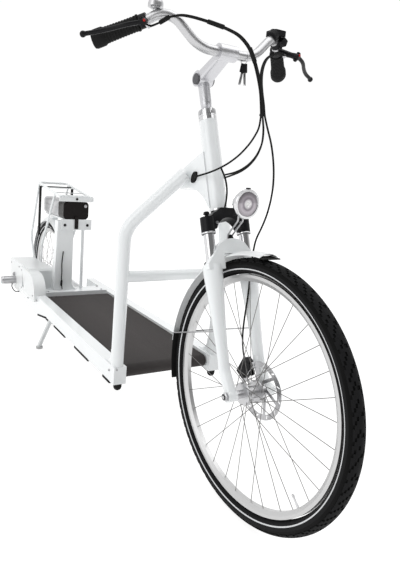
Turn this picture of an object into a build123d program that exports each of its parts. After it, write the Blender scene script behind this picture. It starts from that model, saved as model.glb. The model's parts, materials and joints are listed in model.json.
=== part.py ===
from build123d import *
import os
from math import atan2, cos, radians, sin, sqrt, tan

# A treadmill bicycle: the rider walks on an endless belt between the wheels.
# Millimetres. X points forwards, Y to the rider's left, Z up. The origin lies on the
# ground, midway between the ends of the vehicle, and every piece stands at rest.

# Wheels: tyre radius over the tread, width over the tyre, and the rim inside it
wheelbase = 1808
front_radius = 362
front_tyre_width = 48
front_tyre_depth = 44
rear_radius = 299
rear_tyre_width = 46
rear_tyre_depth = 42
rim_depth = 18
rim_width = 26
rim_lip_share = 0.45
spoke_diameter = 1.9
spoke_count = 32
spoke_sweep_angle = 62
spoke_seat = 0.4
axle_radius = 5
axle_clearance = 0.1
hub_core_radius = 17
hub_drum_radius = 24
hub_flange_radius = 31
hub_flange_thickness = 3
front_hub_half = 48
front_flange_reach = 22
rear_hub_half = 60
rear_flange_reach = 30
hub_end_radius = 11
side_clearance = 1

# Brake disc on the left of the front wheel
disc_radius = 80
disc_thickness = 2
disc_reach = 39
disc_track = 15
disc_core_radius = 24
disc_arm_count = 6
disc_arm_width = 9
disc_slot_count = 12
disc_slot_length = 12
disc_slot_width = 4
disc_arm_lean = 24
disc_slot_lean = 40
disc_gap = 3

# Steering: the head angle, and how far the axle lies in front of the steering line
head_angle = 68.5
fork_offset = 42
head_low = 514
lower_cup_height = 5
head_high = 774
head_radius = 26
head_bore = 19
steerer_radius = 14.3
cup_height = 10
cup_radius = 26
running_gap = 0.3

# Fork, measured along and across the steering line from the axle's height
leg_reach = 60
leg_set_back = 18
stanchion_radius = 15
leg_radius = 18.5
leg_top = 352
leg_foot = 26
leg_tip_radius = 16
leg_top_radius = 27
leg_collar = 22
leg_swell_height = 190
leg_bend_height = 66
leg_shin_height = 128
leg_bend_radius = 60
leg_boss = 16
axle_end = 9
nut_radius = 9
arch_height = 421
arch_depth = 20
arch_foot = 14
arch_fall = 12
arch_top_half = 40
arch_ahead = 4
cap_low = 437
cap_high = 484
cap_radius = 19.5
knob_radius = 5
knob_height = 9
crown_low = 481
crown_depth = 34
crown_hub_radius = 22
crown_inner = 41
crown_foot = 450

# Front mudguard and what hangs from it
front_guard_radius = 379
guard_width = 58
guard_wall = 2
guard_crown = 9
rear_guard_crown = 24
front_guard_ahead = 1
front_guard_behind = 86
stay_radius = 2
stay_leg_height = 172
stay_angle = 82
flap_thickness = 3
flap_lap_angle = 4
flap_angle = 20
tip_angle = 2

# Headlamp on its wire bracket over the fork's arch
lamp_radius = 38
lamp_depth = 34
lamp_ahead = 126
lamp_height = 494
lamp_tail_radius = 14
lamp_rim = 6
lamp_tail = 12
lens_depth = 4
lens_inset = 5
lamp_wire_radius = 2.5
lamp_wire_half_width = 8
lamp_wire_back = 20
lamp_wire_drop = 46
lamp_wire_reach = 24
lamp_wire_bend = 7
lamp_wire_rise = 10

# Front brake caliper behind the left leg
caliper_length = 54
caliper_width = 17
caliper_depth = 32
caliper_angle = 43
caliper_lug = 8
caliper_rise = 4

# Stem: a tapered neck, a pivot and an arm that leans forwards to the bar
stem_neck_low_radius = 25
stem_neck_radius = 16
stem_flare_height = 22
stem_lip = 6
stem_waist_radius = 17
stem_head_radius = 17
stem_pivot_height = 902
stem_pivot_radius = 22
stem_pivot_width = 46
pivot_cap_thickness = 4
pivot_cap_inset = 5
bar_back = 266
bar_height = 1241
bar_radius = 12.7
clamp_radius = 21
clamp_width = 56
arm_width = 42
arm_thickness = 32
arm_corner = 8

# Handlebar: corners of its right half behind the front axle, out and up
bar_corner_back = 287
bar_corner_out = 177
bar_corner_height = 1322
bar_knee_out = 88
bar_knee_radius = 90
bar_corner_radius = 60
bar_grip_radius = 50
grip_inner_back = 319
grip_inner_out = 212
grip_inner_height = 1297
grip_outer_back = 420
grip_outer_out = 320
grip_outer_height = 1247
grip_radius = 19
grip_end_radius = 24
grip_palm_share = 0.75
grip_length = 128
grip_waist_radius = 18
grip_end_cap = 4
lever_clamp_width = 22
lever_clamp_radius = 18
lever_ball_radius = 8
lever_radius = 5
lever_pivot_back = 272
lever_pivot_out = 255
lever_pivot_height = 1272
lever_tip_back = 339
lever_tip_out = 383
lever_tip_height = 1235
lever_pivot_radius = 9
bell_radius = 20
bell_height = 24
bell_run_share = 0.7
bell_stand = 20
bell_foot_radius = 6
display_size = 44
display_thickness = 14
display_run_share = 0.3
display_stand = 11
display_corner = 8

# Deck: endless belt on two rollers between two deep rails
belt_half_width = 160
belt_thickness = 3
roller_radius = 19
belt_top = 284
front_roller_back = 455
rear_roller_back = 1344
roller_pin_radius = 6
board_thickness = 14
rail_gap = 5
rail_width = 44
rail_top = 292
rail_depth = 60
rail_front_back = 416
rail_rear_back = 1663
rail_kick_back = 1478
rail_kick_rise = 30
rail_dip_back = 1130
rail_dip_end_back = 1440
rail_dip = 38
ledge_back = 1370
ledge_depth = 90
ledge_height = 46
ledge_lip = 6
pad_thickness = 5
pad_width = 24
pad_spans = ((449, 509), (649, 799), (917, 1067), (1179, 1329))
foot_radius = 14
foot_height = 26
foot_back = 432
foot_share = 0.98
cross_rail_backs = (628, 988)
cross_rail_width = 40
cross_rail_height = 6

# Side tubes from the deck's front corners up to the head
side_tube_radius = 21
side_tube_out = 190
side_tube_back = 438
side_bend_height = 742
side_top_back = 354
side_top_out = 42
side_top_height = 917
side_bend_radius = 110
cross_tube_height = 589
cross_tube_radius = 18
gusset_length = 46
gusset_height = 50
gusset_thickness = 30
gusset_lip = 4
neck_half_width = 30
neck_foot = 5
neck_head = 683
neck_corners = ((407, 922), (396, 868), (318, 875), (240, 833))
grommet_length = 36
grommet_width = 22
grommet_thickness = 6
grommet_back = 319
grommet_height = 909
grommet_lean = -60

# Rear mast, rack, battery and mudguard
post_back = 1412
post_depth = 46
post_top = 646
post_left = -12
post_flare = 29
post_flare_height = 46
post_right_low = -105
post_right_high = -92
thin_post_radius = 8
thin_post_side = 46
rack_front_back = 1415
rack_rear_back = 1818
rack_front_height = 759
rack_rise = 48
rack_half_width = 87
rack_tube_radius = 7
rack_bend_radius = 26
rack_slat_width = 16
rack_slat_thickness = 4
rack_plate_length = 60
rack_plate_thickness = 5
rack_pad_half_width = 66
rack_pad_rise = 2
rack_slat_shares = (0.3, 0.62, 0.97)
battery_width = 130
battery_height = 86
battery_length = 338
battery_front_back = 1412
battery_corner = 18
battery_cap_depth = 85
battery_cap_round = 6
cradle_thickness = 8
cradle_lip_half = 80
cradle_lip_depth = 44
cradle_lip_thickness = 4
cradle_tab_back = 1748
cradle_tab_width = 30
latch_width = 18
latch_length = 46
latch_proud = 5
rear_guard_gap = 24
rear_guard_ahead = 62
rear_guard_behind = 98
stay_tube_radius = 6
rack_stay_back = 1500
rack_knee_back = 1722
rack_knee_height = 480
rack_ankle_back = 1732
rack_ankle_height = 270
rack_knee_radius = 120
rear_knee_back = 1945
rear_knee_height = 492
rear_knee_radius = 70
stay_foot = 16

# Drive case on the right, and what carries the rear axle on the left
case_inner = 78
case_front_back = 1488
case_rear_back = 1903
case_low = 222
case_high = 392
case_shoulder = 10
case_fall = 16
cover_thickness = 14
cover_front_back = 1346
cover_rear_back = 1608
cover_low = 262
cover_slit = 22
cover_curve = 96
cover_bulge_share = 0.76
stay_plate_thickness = 10
stay_plate_height = 44
stay_plate_gap = 66
peg_radius = 21
peg_length = 78
peg_drop = 28
peg_ahead = 20

# Stand under the deck, on two splayed legs
stand_back = 1448
stand_height = 152
stand_half_width = 96
stand_foot_out = 176
stand_foot_ahead = 44
stand_splay = 6
stand_tube_radius = 11
stand_bend_radius = 36
stand_pad_thickness = 10
stand_pad_radius = 17
lug_thickness = 8
lug_width = 34
lug_reach = 70

# How far a cut runs past what it cuts
cut_overrun = 20

# Cables: outer radius, and each route's points: behind the front axle, left of the middle, up
cable_radius = 2.5
cable_bend_share = 0.45
right_lever_route = (
    (301, -240, 1282), (292, -226, 1270), (276, -205, 1280), (264, -183, 1296), (260, -153, 1305),
    (258, -119, 1306), (245, -83, 1300), (222, -44, 1288), (197, -12, 1271), (181, 12, 1243),
    (174, 29, 1209), (166, 40, 1173), (157, 46, 1138), (149, 46.5, 1106), (143, 46.5, 1080))
left_lever_route = (
    (301, 240, 1282), (290, 222, 1272), (285, 193, 1273), (274, 162, 1263), (257, 132, 1246),
    (236, 106, 1222), (212, 84, 1194), (188, 67, 1166), (167, 57, 1136), (151, 53.5, 1106),
    (144, 53.5, 1080))
right_frame_route = (
    (146.5, 46.5, 1077), (140, 40, 1046), (141, 20, 1010), (152, -4, 976), (174, -24, 951),
    (205, -37, 934), (240, -42, 923), (273, -43, 916), (300, -40, 911), (319, -31, 909))
left_frame_route = (
    (139.5, 46.5, 1077), (133, 50, 1042), (137, 54, 1008), (154, 55, 976), (178, 52, 951),
    (207, 48, 934), (240, 45, 923), (271, 44.5, 915), (299, 41, 908), (322, 31, 903.5))
second_frame_route = (
    (147.5, 53.5, 1077), (142, 58, 1044), (146, 62, 1011), (163, 62.5, 980), (187, 59.5, 956),
    (214, 55.5, 940), (243, 52.5, 930), (271, 50, 924), (296, 43, 919), (316, 31, 914.5))
hose_route = (
    (126, 57, 1046), (108, 59, 1012), (94, 60, 975), (86, 62, 937), (85, 65, 899), (89, 66, 861), (97, 66, 825),
    (109, 64, 790), (122, 60, 757))
hose_steered_route = (
    (68, 50, 380), (63, 43, 347), (57, 38, 314), (49, 35, 281), (38, 34, 249), (25, 33, 219), (12, 33, 189),
    (1, 33, 159), (-8, 35, 130), (-13, 38, 103), (-15, 42, 78))
lamp_wire_route = (
    (192, -33, 942), (188, -17, 916), (185, -8, 884), (185, -7, 852), (189, -9, 822))

# Places worked out from the sizes above
rear_guard_radius = rear_radius + rear_guard_gap
front_x = (wheelbase + rear_guard_radius - front_radius) / 2
rear_x = front_x - wheelbase
front_rim_radius = front_radius - front_tyre_depth
rear_rim_radius = rear_radius - rear_tyre_depth
axle_bore = axle_radius + axle_clearance
rail_inner = belt_half_width + rail_gap
rail_outer = rail_inner + rail_width
rail_middle = rail_inner + rail_width / 2
rail_low = rail_top - rail_depth
roller_height = belt_top - belt_thickness - roller_radius
leg_line = fork_offset - leg_set_back


def behind(back):
    """X of a place that lies this far behind the front axle."""
    return front_x - back


# The steering frame: its Z runs up the steering line and its X forwards across it
steer_x = Vector(sin(radians(head_angle)), 0, cos(radians(head_angle)))
steer_z = Vector(-cos(radians(head_angle)), 0, sin(radians(head_angle)))
steer_origin = Vector(front_x, 0, front_radius) - steer_x * fork_offset
steering = Plane(origin=steer_origin, x_dir=steer_x, z_dir=steer_z)


def steered(shape):
    """Carry a shape drawn in the steering frame to its place on the vehicle."""
    return steering.location * shape


def to_steer(point):
    """The place of a point of the vehicle, in the steering frame."""
    return steering.to_local_coords(Vector(*point))


def across(radius, low, high, x=0.0, z=0.0):
    """A round bar that runs along Y."""
    return Pos(x, low, z) * Rot(-90, 0, 0) * Cylinder(
        radius, high - low, align=(Align.CENTER, Align.CENTER, Align.MIN))


def upright(radius, low, high, x=0.0, y=0.0):
    """A round bar that runs along Z."""
    return Pos(x, y, low) * Cylinder(radius, high - low, align=(Align.CENTER, Align.CENTER, Align.MIN))


def block(x_low, x_high, y_low, y_high, z_low, z_high):
    """A box between two corners."""
    middle = ((x_low + x_high) / 2, (y_low + y_high) / 2, (z_low + z_high) / 2)
    return Pos(*middle) * Box(x_high - x_low, y_high - y_low, z_high - z_low)


def flat(*points):
    """A closed outline through points given as X and Z."""
    return Polyline(*[(x, 0, z) for x, z in points], close=True)


def slab(outline, y_low, y_high):
    """An outline in X and Z, made as thick as the space between two places on Y."""
    return Pos(0, y_low, 0) * extrude(make_face(outline), amount=y_high - y_low, dir=(0, 1, 0))


def turned(profile):
    """A closed profile in radius and Y, turned about the Y axis."""
    return revolve(make_face(profile), axis=Axis.Y)


def both_sides(*shapes):
    """Shapes and their mirror images on the other side, as separate solids."""
    solids = [solid for shape in shapes for solid in shape.solids()]
    return Compound(children=solids + [mirror(solid, about=Plane.XZ).solid() for solid in solids])


def largest(shape):
    """The largest solid of a shape that a cut has parted."""
    return max(shape.solids(), key=lambda solid: solid.volume)


def tube(points, radius, bends=0.0):
    """A round tube along straight runs joined by arcs."""
    path = FilletPolyline(*points, radius=bends) if len(points) > 2 else Line(*points)
    return sweep(Plane(origin=path @ 0, z_dir=path % 0) * Circle(radius), path=path)


def save(name, *shapes):
    """Write one node: a solid, or several that don't touch."""
    solids = [solid for shape in shapes for solid in shape.solids()]
    whole = solids[0] if len(solids) == 1 else Compound(children=solids)
    export_step(whole, f"parts/{name}.step")


def wheel_tyre(radius, depth, width):
    """A tyre: a round crown over straight shoulders that close on the rim."""
    bead = radius - depth
    half_rim = rim_width / 2
    shoulder = bead + depth / 2
    crown = ThreePointArc((shoulder, width / 2), (radius, 0), (shoulder, -width / 2))
    sides = Polyline((shoulder, -width / 2), (bead, -half_rim), (bead, half_rim), (shoulder, width / 2))
    return turned(crown + sides)


def wheel_rim(outer):
    """A hollow rim of box section, seen as a solid ring."""
    half = rim_width / 2
    inner = outer - rim_depth
    waist = outer - rim_depth * rim_lip_share
    left = ((outer, half), (waist, half), (inner, half / 2))
    right = tuple((radius, -place) for radius, place in reversed(left))
    return turned(Polyline(*left, *right, close=True))


def wheel_hub(half, flange_reach, core):
    """A hub: a turned core between two spoke flanges, bored for its axle."""
    thick = hub_flange_thickness / 2
    left = (
        (axle_bore, half),
        (hub_end_radius, half),
        (hub_end_radius, flange_reach + thick),
        (hub_flange_radius, flange_reach + thick),
        (hub_flange_radius, flange_reach - thick),
        (core, flange_reach - thick),
    )
    right = tuple((radius, -place) for radius, place in reversed(left))
    return turned(Polyline(*left, *right, close=True))


def wheel_spokes(rim_outer, flange_reach):
    """Spokes that leave both faces of each flange and cross on their way to the rim."""
    rim_end = rim_outer - rim_depth - spoke_seat
    hub_end = hub_flange_radius - spoke_diameter * 2
    face = hub_flange_thickness / 2 + spoke_diameter + spoke_seat
    spokes = []
    for index in range(spoke_count):
        side = 1 if index % 2 else -1
        lean = 1 if index % 4 < 2 else -1
        at_rim = radians(360 * index / spoke_count)
        at_hub = at_rim + lean * radians(spoke_sweep_angle)
        hub_side = side * (flange_reach + lean * face)
        rim_side = side * spoke_diameter * 2
        start = Vector(hub_end * cos(at_hub), hub_side, hub_end * sin(at_hub))
        run = Vector(rim_end * cos(at_rim), rim_side, rim_end * sin(at_rim)) - start
        spokes.append(Plane(origin=start, z_dir=run) * Cylinder(
            spoke_diameter / 2, run.length, align=(Align.CENTER, Align.CENTER, Align.MIN)))
    return Compound(children=[spoke.solid() for spoke in spokes])


def guard(radius, ahead, after, crown):
    """A mudguard: a crowned strip bent round a wheel, between two angles from the top."""
    half = guard_width / 2
    edge = radius - crown
    inner_edge = edge - guard_wall
    outer = ThreePointArc((edge, -half), (radius, 0), (edge, half))
    inner = ThreePointArc((inner_edge, half), (radius - guard_wall, 0), (inner_edge, -half))
    ends = Line((edge, half), (inner_edge, half)) + Line((inner_edge, -half), (edge, -half))
    strip = revolve(make_face(outer + inner + ends), axis=Axis.Y, revolution_arc=ahead + after)
    return Rot(0, -90 - after, 0) * strip


def around(radius, angle, y=0.0):
    """A point round a wheel's centre, by its angle behind the top."""
    return Vector(-radius * sin(radians(angle)), y, radius * cos(radians(angle)))


def build_wheels():
    """Both wheels, their tyres, rims, spokes and hubs, and the brake disc."""
    front = Pos(front_x, 0, front_radius)
    rear = Pos(rear_x, 0, rear_radius)
    save("front_tyre", front * wheel_tyre(front_radius, front_tyre_depth, front_tyre_width))
    save("front_rim", front * wheel_rim(front_rim_radius))
    save("front_spokes", front * wheel_spokes(front_rim_radius, front_flange_reach))
    save("front_hub", front * wheel_hub(front_hub_half, front_flange_reach, hub_core_radius))
    save("rear_tyre", rear * wheel_tyre(rear_radius, rear_tyre_depth, rear_tyre_width))
    save("rear_rim", rear * wheel_rim(rear_rim_radius))
    save("rear_spokes", rear * wheel_spokes(rear_rim_radius, rear_flange_reach))
    drum = across(hub_drum_radius, -case_inner + side_clearance, -rear_flange_reach)
    drum -= across(axle_bore, -case_inner, 0)
    save("rear_hub", rear * (wheel_hub(rear_hub_half, rear_flange_reach, hub_core_radius) + drum))
    save("brake_disc", front * brake_disc())


def brake_disc():
    """A disc brake rotor: a slotted track on swept arms round a bored core."""
    low = disc_reach - disc_thickness / 2
    high = low + disc_thickness
    track_inner = disc_radius - disc_track
    track = across(disc_radius, low, high) - across(track_inner, low, high)
    core = across(disc_core_radius, low, high) - across(hub_end_radius, low, high)
    whole = track + core
    reach = (disc_core_radius + track_inner) / 2
    span = track_inner - disc_core_radius + disc_arm_width
    for index in range(disc_arm_count):
        arm = Pos(reach, disc_reach, 0) * Rot(0, disc_arm_lean, 0) * Box(span, disc_thickness, disc_arm_width)
        whole += Rot(0, 360 * index / disc_arm_count, 0) * arm
    whole -= across(hub_end_radius, low, high)
    middle = disc_radius - disc_track / 2
    for index in range(disc_slot_count):
        slot = Pos(middle, disc_reach, 0) * Rot(0, disc_slot_lean, 0) * Box(
            disc_slot_length, disc_thickness + cut_overrun, disc_slot_width)
        whole -= Rot(0, 360 * index / disc_slot_count, 0) * slot
    seat = across(disc_core_radius, front_flange_reach + hub_flange_thickness / 2, low)
    seat -= across(hub_end_radius, 0, low)
    return whole + seat


def build_fork():
    """Crown with its steerer, stanchions, lower legs with their arch, the axle and the caliper."""
    crown_top = head_low - lower_cup_height - running_gap
    edges = (
        Polyline(
            (crown_inner, crown_foot),
            (leg_reach, crown_foot),
            (leg_reach, cap_high),
            (crown_hub_radius, crown_top),
            (-crown_hub_radius, crown_top),
            (-leg_reach, cap_high),
            (-leg_reach, crown_foot),
            (-crown_inner, crown_foot),
        )
        + ThreePointArc((-crown_inner, crown_foot), (0, crown_low), (crown_inner, crown_foot))
    )
    plate = Plane.YZ * make_face(edges)
    plate = Pos(leg_line - crown_depth / 2, 0, 0) * extrude(plate, amount=crown_depth, dir=(1, 0, 0))
    crown = plate + upright(crown_hub_radius, crown_low, crown_top)
    crown += upright(steerer_radius, crown_low, head_high + cup_height + running_gap)
    for side in (-1, 1):
        crown += upright(cap_radius, cap_low, cap_high, leg_line, side * leg_reach)
        crown += upright(knob_radius, cap_high, cap_high + knob_height, leg_line, side * leg_reach)
    crown = steered(crown)
    save("fork_crown", crown)
    stanchions = upright(stanchion_radius, leg_top, cap_low, leg_line, leg_reach)
    save("fork_stanchions", both_sides(steered(stanchions)))

    # The arch stands in front of the stanchions and is hollowed to clear them
    foot = leg_top - arch_foot
    outer_foot = leg_reach + leg_top_radius
    inner_foot = leg_reach - leg_top_radius
    arch_low = front_guard_radius + running_gap
    shoulder = arch_height - arch_fall
    outline = (
        Polyline(
            (arch_top_half, shoulder),
            (outer_foot, leg_top),
            (outer_foot, foot),
            (inner_foot, foot),
            (inner_foot, arch_low),
            (-inner_foot, arch_low),
            (-inner_foot, foot),
            (-outer_foot, foot),
            (-outer_foot, leg_top),
            (-arch_top_half, shoulder),
        )
        + ThreePointArc((-arch_top_half, shoulder), (0, arch_height), (arch_top_half, shoulder))
    )
    arch = extrude(Plane.YZ * make_face(outline), amount=arch_depth, dir=(1, 0, 0))
    lowers = Pos(leg_line + arch_ahead, 0, 0) * arch
    notch = stanchion_radius + running_gap
    for side in (-1, 1):
        lowers -= upright(notch, leg_top, arch_height + cut_overrun, leg_line, side * leg_reach)
    for side in (-1, 1):
        lowers += Pos(leg_line, side * leg_reach, 0) * leg_shaft()
        shin = tube(
            [(leg_line, side * leg_reach, leg_shin_height),
             (leg_line, side * leg_reach, leg_bend_height),
             (fork_offset, side * leg_reach, 0)],
            leg_tip_radius, leg_bend_radius)
        near = side * (front_hub_half + side_clearance)
        far = side * (leg_reach + leg_boss)
        lowers += shin + across(leg_tip_radius, min(near, far), max(near, far), fork_offset, 0)
    inner = front_hub_half + side_clearance
    lowers -= block(fork_offset - disc_radius, fork_offset + disc_radius, -inner, inner,
                    -leg_tip_radius * 2, disc_radius + leg_tip_radius)
    lowers -= across(axle_radius, -leg_reach * 2, leg_reach * 2, fork_offset, 0)
    save("fork_legs", steered(lowers))

    reach = leg_reach + leg_boss + axle_end
    axle = across(axle_radius, -reach, reach, fork_offset, 0)
    axle += across(nut_radius, leg_reach + leg_boss, reach, fork_offset, 0)
    axle += across(nut_radius, -reach, -leg_reach - leg_boss, fork_offset, 0)
    save("front_axle", steered(axle))

    # The caliper bridges the brake disc behind the left leg
    low = disc_reach - caliper_width / 2
    high = front_hub_half + caliper_lug
    centre = Vector(fork_offset, 0, 0) + around(disc_radius + caliper_rise, caliper_angle)
    caliper = Pos(centre.X, (low + high) / 2, centre.Z) * Rot(0, -caliper_angle, 0) * Box(
        caliper_length, high - low, caliper_depth)
    slot = across(disc_radius + side_clearance * 3, disc_reach - disc_gap, disc_reach + disc_gap, fork_offset, 0)
    caliper -= slot
    caliper -= lowers
    caliper = steered(largest(caliper))
    save("brake_caliper", caliper)
    return crown, lowers, caliper


def leg_shaft():
    """The straight part of a lower leg, which swells to its collar at the top."""
    profile = Polyline(
        (0, leg_shin_height),
        (leg_tip_radius, leg_shin_height),
        (leg_radius, leg_swell_height),
        (leg_top_radius, leg_top - leg_collar),
        (leg_top_radius, leg_top),
        (0, leg_top),
        close=True,
    )
    return revolve(Plane.XZ * make_face(profile), axis=Axis.Z)


def build_front_guard(lowers):
    """The front mudguard, its flaps and its wire stays."""
    wheel = Pos(front_x, 0, front_radius)
    strip = guard(front_guard_radius, front_guard_ahead, front_guard_behind, guard_crown)
    save("front_guard", wheel * strip)
    half = guard_width / 2
    edge = front_guard_radius - guard_crown - guard_wall
    curve = (half ** 2 + guard_crown ** 2) / (2 * guard_crown)
    sag = curve - sqrt(curve ** 2 - (half - guard_wall) ** 2)
    seat = front_guard_radius - guard_wall - sag - flap_thickness - running_gap
    flap = guard_flap(seat, front_guard_behind - flap_lap_angle, front_guard_behind + flap_angle)
    tip = guard_flap(seat, -front_guard_ahead - tip_angle, -front_guard_ahead + flap_lap_angle)
    save("front_guard_flaps", wheel * flap, wheel * tip)
    start = around(edge + guard_wall, stay_angle, half + stay_radius + running_gap)
    start = Vector(front_x, 0, front_radius) + start
    end = steering.from_local_coords(Vector(leg_line - leg_radius - stay_radius, leg_reach, stay_leg_height))
    stay = tube([tuple(start), tuple(end)], stay_radius)
    save("front_guard_stays", both_sides(stay - steered(lowers)))


def guard_flap(radius, from_angle, to_angle):
    """A flat rubber flap bent round a wheel, between two angles behind the top."""
    half = guard_width / 2 - guard_wall
    outer = radius + flap_thickness
    profile = Polyline((radius, -half), (outer, -half), (outer, half), (radius, half), close=True)
    strip = revolve(make_face(profile), axis=Axis.Y, revolution_arc=to_angle - from_angle)
    return Rot(0, -90 - to_angle, 0) * strip


def build_lamp(lowers):
    """The headlamp bowl, its lens and its wire bracket over the fork's arch."""
    centre = steering.from_local_coords(Vector(lamp_ahead, 0, lamp_height))
    mouth = lamp_radius - lens_inset
    tail = lamp_depth + lamp_tail
    front = Polyline(
        (0, 0), (0, mouth), (lens_depth, mouth), (lens_depth, lamp_radius), (-lamp_rim, lamp_radius))
    bowl = ThreePointArc(
        (-lamp_rim, lamp_radius), (-lamp_depth * 2 / 3, lamp_radius * 3 / 4), (-lamp_depth, lamp_tail_radius))
    rear = Polyline((-lamp_depth, lamp_tail_radius), (-tail, lamp_tail_radius), (-tail, 0), (0, 0))
    lamp = Pos(*centre) * revolve(make_face(front + bowl + rear), axis=Axis.X)
    save("headlamp", lamp)
    lens = Pos(centre.X, 0, centre.Z) * Rot(0, 90, 0) * Cylinder(
        mouth, lens_depth, align=(Align.CENTER, Align.CENTER, Align.MIN))
    save("headlamp_lens", lens)
    arch_middle = leg_line + arch_ahead + arch_depth / 2
    foot = steering.from_local_coords(
        Vector(arch_middle, lamp_wire_half_width, arch_height - arch_fall))
    top = Vector(centre.X - lamp_wire_back, lamp_wire_half_width, centre.Z - lamp_wire_reach)
    knee = Vector(top.X, lamp_wire_half_width, centre.Z - lamp_wire_drop)
    ankle = foot + steer_z * (arch_fall + lamp_wire_rise)
    wire = tube([tuple(foot), tuple(ankle), tuple(knee), tuple(top)], lamp_wire_radius, lamp_wire_bend)
    save("headlamp_bracket", both_sides(largest(wire - lamp - steered(lowers))))


def bar_points():
    """Corners of the handlebar, from its left end to its right end."""
    right = (
        (behind(bar_back), -bar_knee_out, bar_height),
        (behind(bar_corner_back), -bar_corner_out, bar_corner_height),
        (behind(grip_inner_back), -grip_inner_out, grip_inner_height),
        (behind(grip_outer_back), -grip_outer_out, grip_outer_height),
    )
    left = tuple((x, -y, z) for x, y, z in reversed(right))
    return left + right


def build_stem():
    """The tapered neck, the pivot with its oval caps, and the arm up to the bar's clamp."""
    low = head_high + cup_height + running_gap
    high = stem_pivot_height
    lip = low + stem_lip
    flare = low + stem_flare_height
    foot = Polyline((0, low), (stem_neck_low_radius, low), (stem_neck_low_radius, lip))
    top = flare + stem_flare_height
    waist = ThreePointArc(
        (stem_neck_low_radius, lip), (stem_waist_radius, flare), (stem_neck_radius, top))
    head = Polyline((stem_neck_radius, top), (stem_head_radius, high), (0, high), (0, low))
    neck = revolve(Plane.XZ * make_face(foot + waist + head), axis=Axis.Z)
    half = stem_pivot_width / 2
    pivot = across(stem_pivot_radius, -half, half, 0, high)
    bar_middle = to_steer((behind(bar_back), 0, bar_height))
    run = bar_middle - Vector(0, 0, high)
    arm = Plane(origin=(0, 0, high), x_dir=(0, 1, 0), z_dir=run) * loft([
        RectangleRounded(arm_width + arm_thickness / 4, arm_thickness, arm_corner),
        Pos(0, 0, run.length) * RectangleRounded(arm_width, arm_thickness - arm_corner, arm_corner)])
    clamp = across(clamp_radius, -clamp_width / 2, clamp_width / 2, bar_middle.X, bar_middle.Z)
    cap_reach = half + pivot_cap_thickness
    caps = across(stem_pivot_radius - pivot_cap_inset, -cap_reach, cap_reach, 0, high)
    stem = steered(neck + pivot + caps + arm + clamp)
    bends = (bar_grip_radius, bar_corner_radius, bar_knee_radius)
    bar = tube(bar_points(), bar_radius, bends + tuple(reversed(bends)))
    save("stem", stem - across(bar_radius, -clamp_width, clamp_width, behind(bar_back), bar_height))
    save("handlebar", bar)
    return bar


def build_grips(bar):
    """Grips, brake levers on their clamps, the bell and the display."""
    inner = Vector(behind(grip_inner_back), grip_inner_out, grip_inner_height)
    outer = Vector(behind(grip_outer_back), grip_outer_out, grip_outer_height)
    corner = Vector(behind(bar_corner_back), bar_corner_out, bar_corner_height)
    along = (outer - inner).normalized()
    start = outer - along * grip_length
    save("grips", both_sides(Plane(origin=start, z_dir=along) * grip()))

    # The lever leaves its clamp ring forwards, turns at its pivot and spreads outwards
    ring_start = start - along * (lever_clamp_width + running_gap)
    ring = Plane(origin=ring_start, z_dir=along) * Cylinder(
        lever_clamp_radius, lever_clamp_width, align=(Align.CENTER, Align.CENTER, Align.MIN))
    root = ring_start + along * (lever_clamp_width / 2)
    pivot = Vector(behind(lever_pivot_back), lever_pivot_out, lever_pivot_height)
    tip = Vector(behind(lever_tip_back), lever_tip_out, lever_tip_height)
    lever = tube([tuple(root), tuple(pivot)], lever_radius) + tube([tuple(pivot), tuple(tip)], lever_radius)
    lever += Pos(*pivot) * Sphere(lever_pivot_radius)
    lever += Pos(*tip) * Sphere(lever_ball_radius)
    bore = Plane(origin=ring_start, z_dir=along) * Cylinder(bar_radius, lever_clamp_width * 4)
    levers = both_sides(ring + lever - bore)
    save("brake_levers", levers)

    # The bell stands on the bar's right slope, the display on its left one
    place = corner + (inner - corner) * bell_run_share
    foot = upright(bell_foot_radius, place.Z, place.Z + bell_stand, place.X, -place.Y) - bar
    save("bell", largest(foot) + Pos(place.X, -place.Y, place.Z + bell_stand) * bell_dome())
    place = corner + (inner - corner) * display_run_share
    pod = Pos(place.X, place.Y, place.Z + display_stand - display_thickness / 2) * RectangleRounded(
        display_size, display_size, display_corner)
    pod = extrude(pod, amount=display_thickness) - bar
    save("display", largest(pod))
    return levers


def grip():
    """A hand grip: waisted in the palm, with a flange and a rounded end."""
    palm = grip_length * grip_palm_share
    end = grip_length + grip_end_cap
    root = Polyline((bar_radius, 0), (grip_radius, 0))
    waist = ThreePointArc((grip_radius, 0), (grip_waist_radius, palm / 2), (grip_end_radius, palm))
    flange = Polyline(
        (grip_end_radius, palm),
        (grip_end_radius, grip_length),
        (grip_end_radius - grip_end_cap, end),
        (0, end),
        (0, grip_length),
        (bar_radius, grip_length),
        (bar_radius, 0),
    )
    return revolve(Plane.XZ * make_face(root + waist + flange), axis=Axis.Z)


def bell_dome():
    """A flattened dome on its base."""
    skirt = bell_height / 3
    rise = bell_height - skirt
    curve = (bell_radius ** 2 + rise ** 2) / (2 * rise)
    lean = atan2(bell_radius, curve - rise) / 2
    crown = ThreePointArc(
        (bell_radius, skirt),
        (curve * sin(lean), bell_height - curve + curve * cos(lean)),
        (0, bell_height))
    profile = Polyline((0, bell_height), (0, 0), (bell_radius, 0), (bell_radius, skirt)) + crown
    return revolve(Plane.XZ * make_face(profile), axis=Axis.Z)


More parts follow.
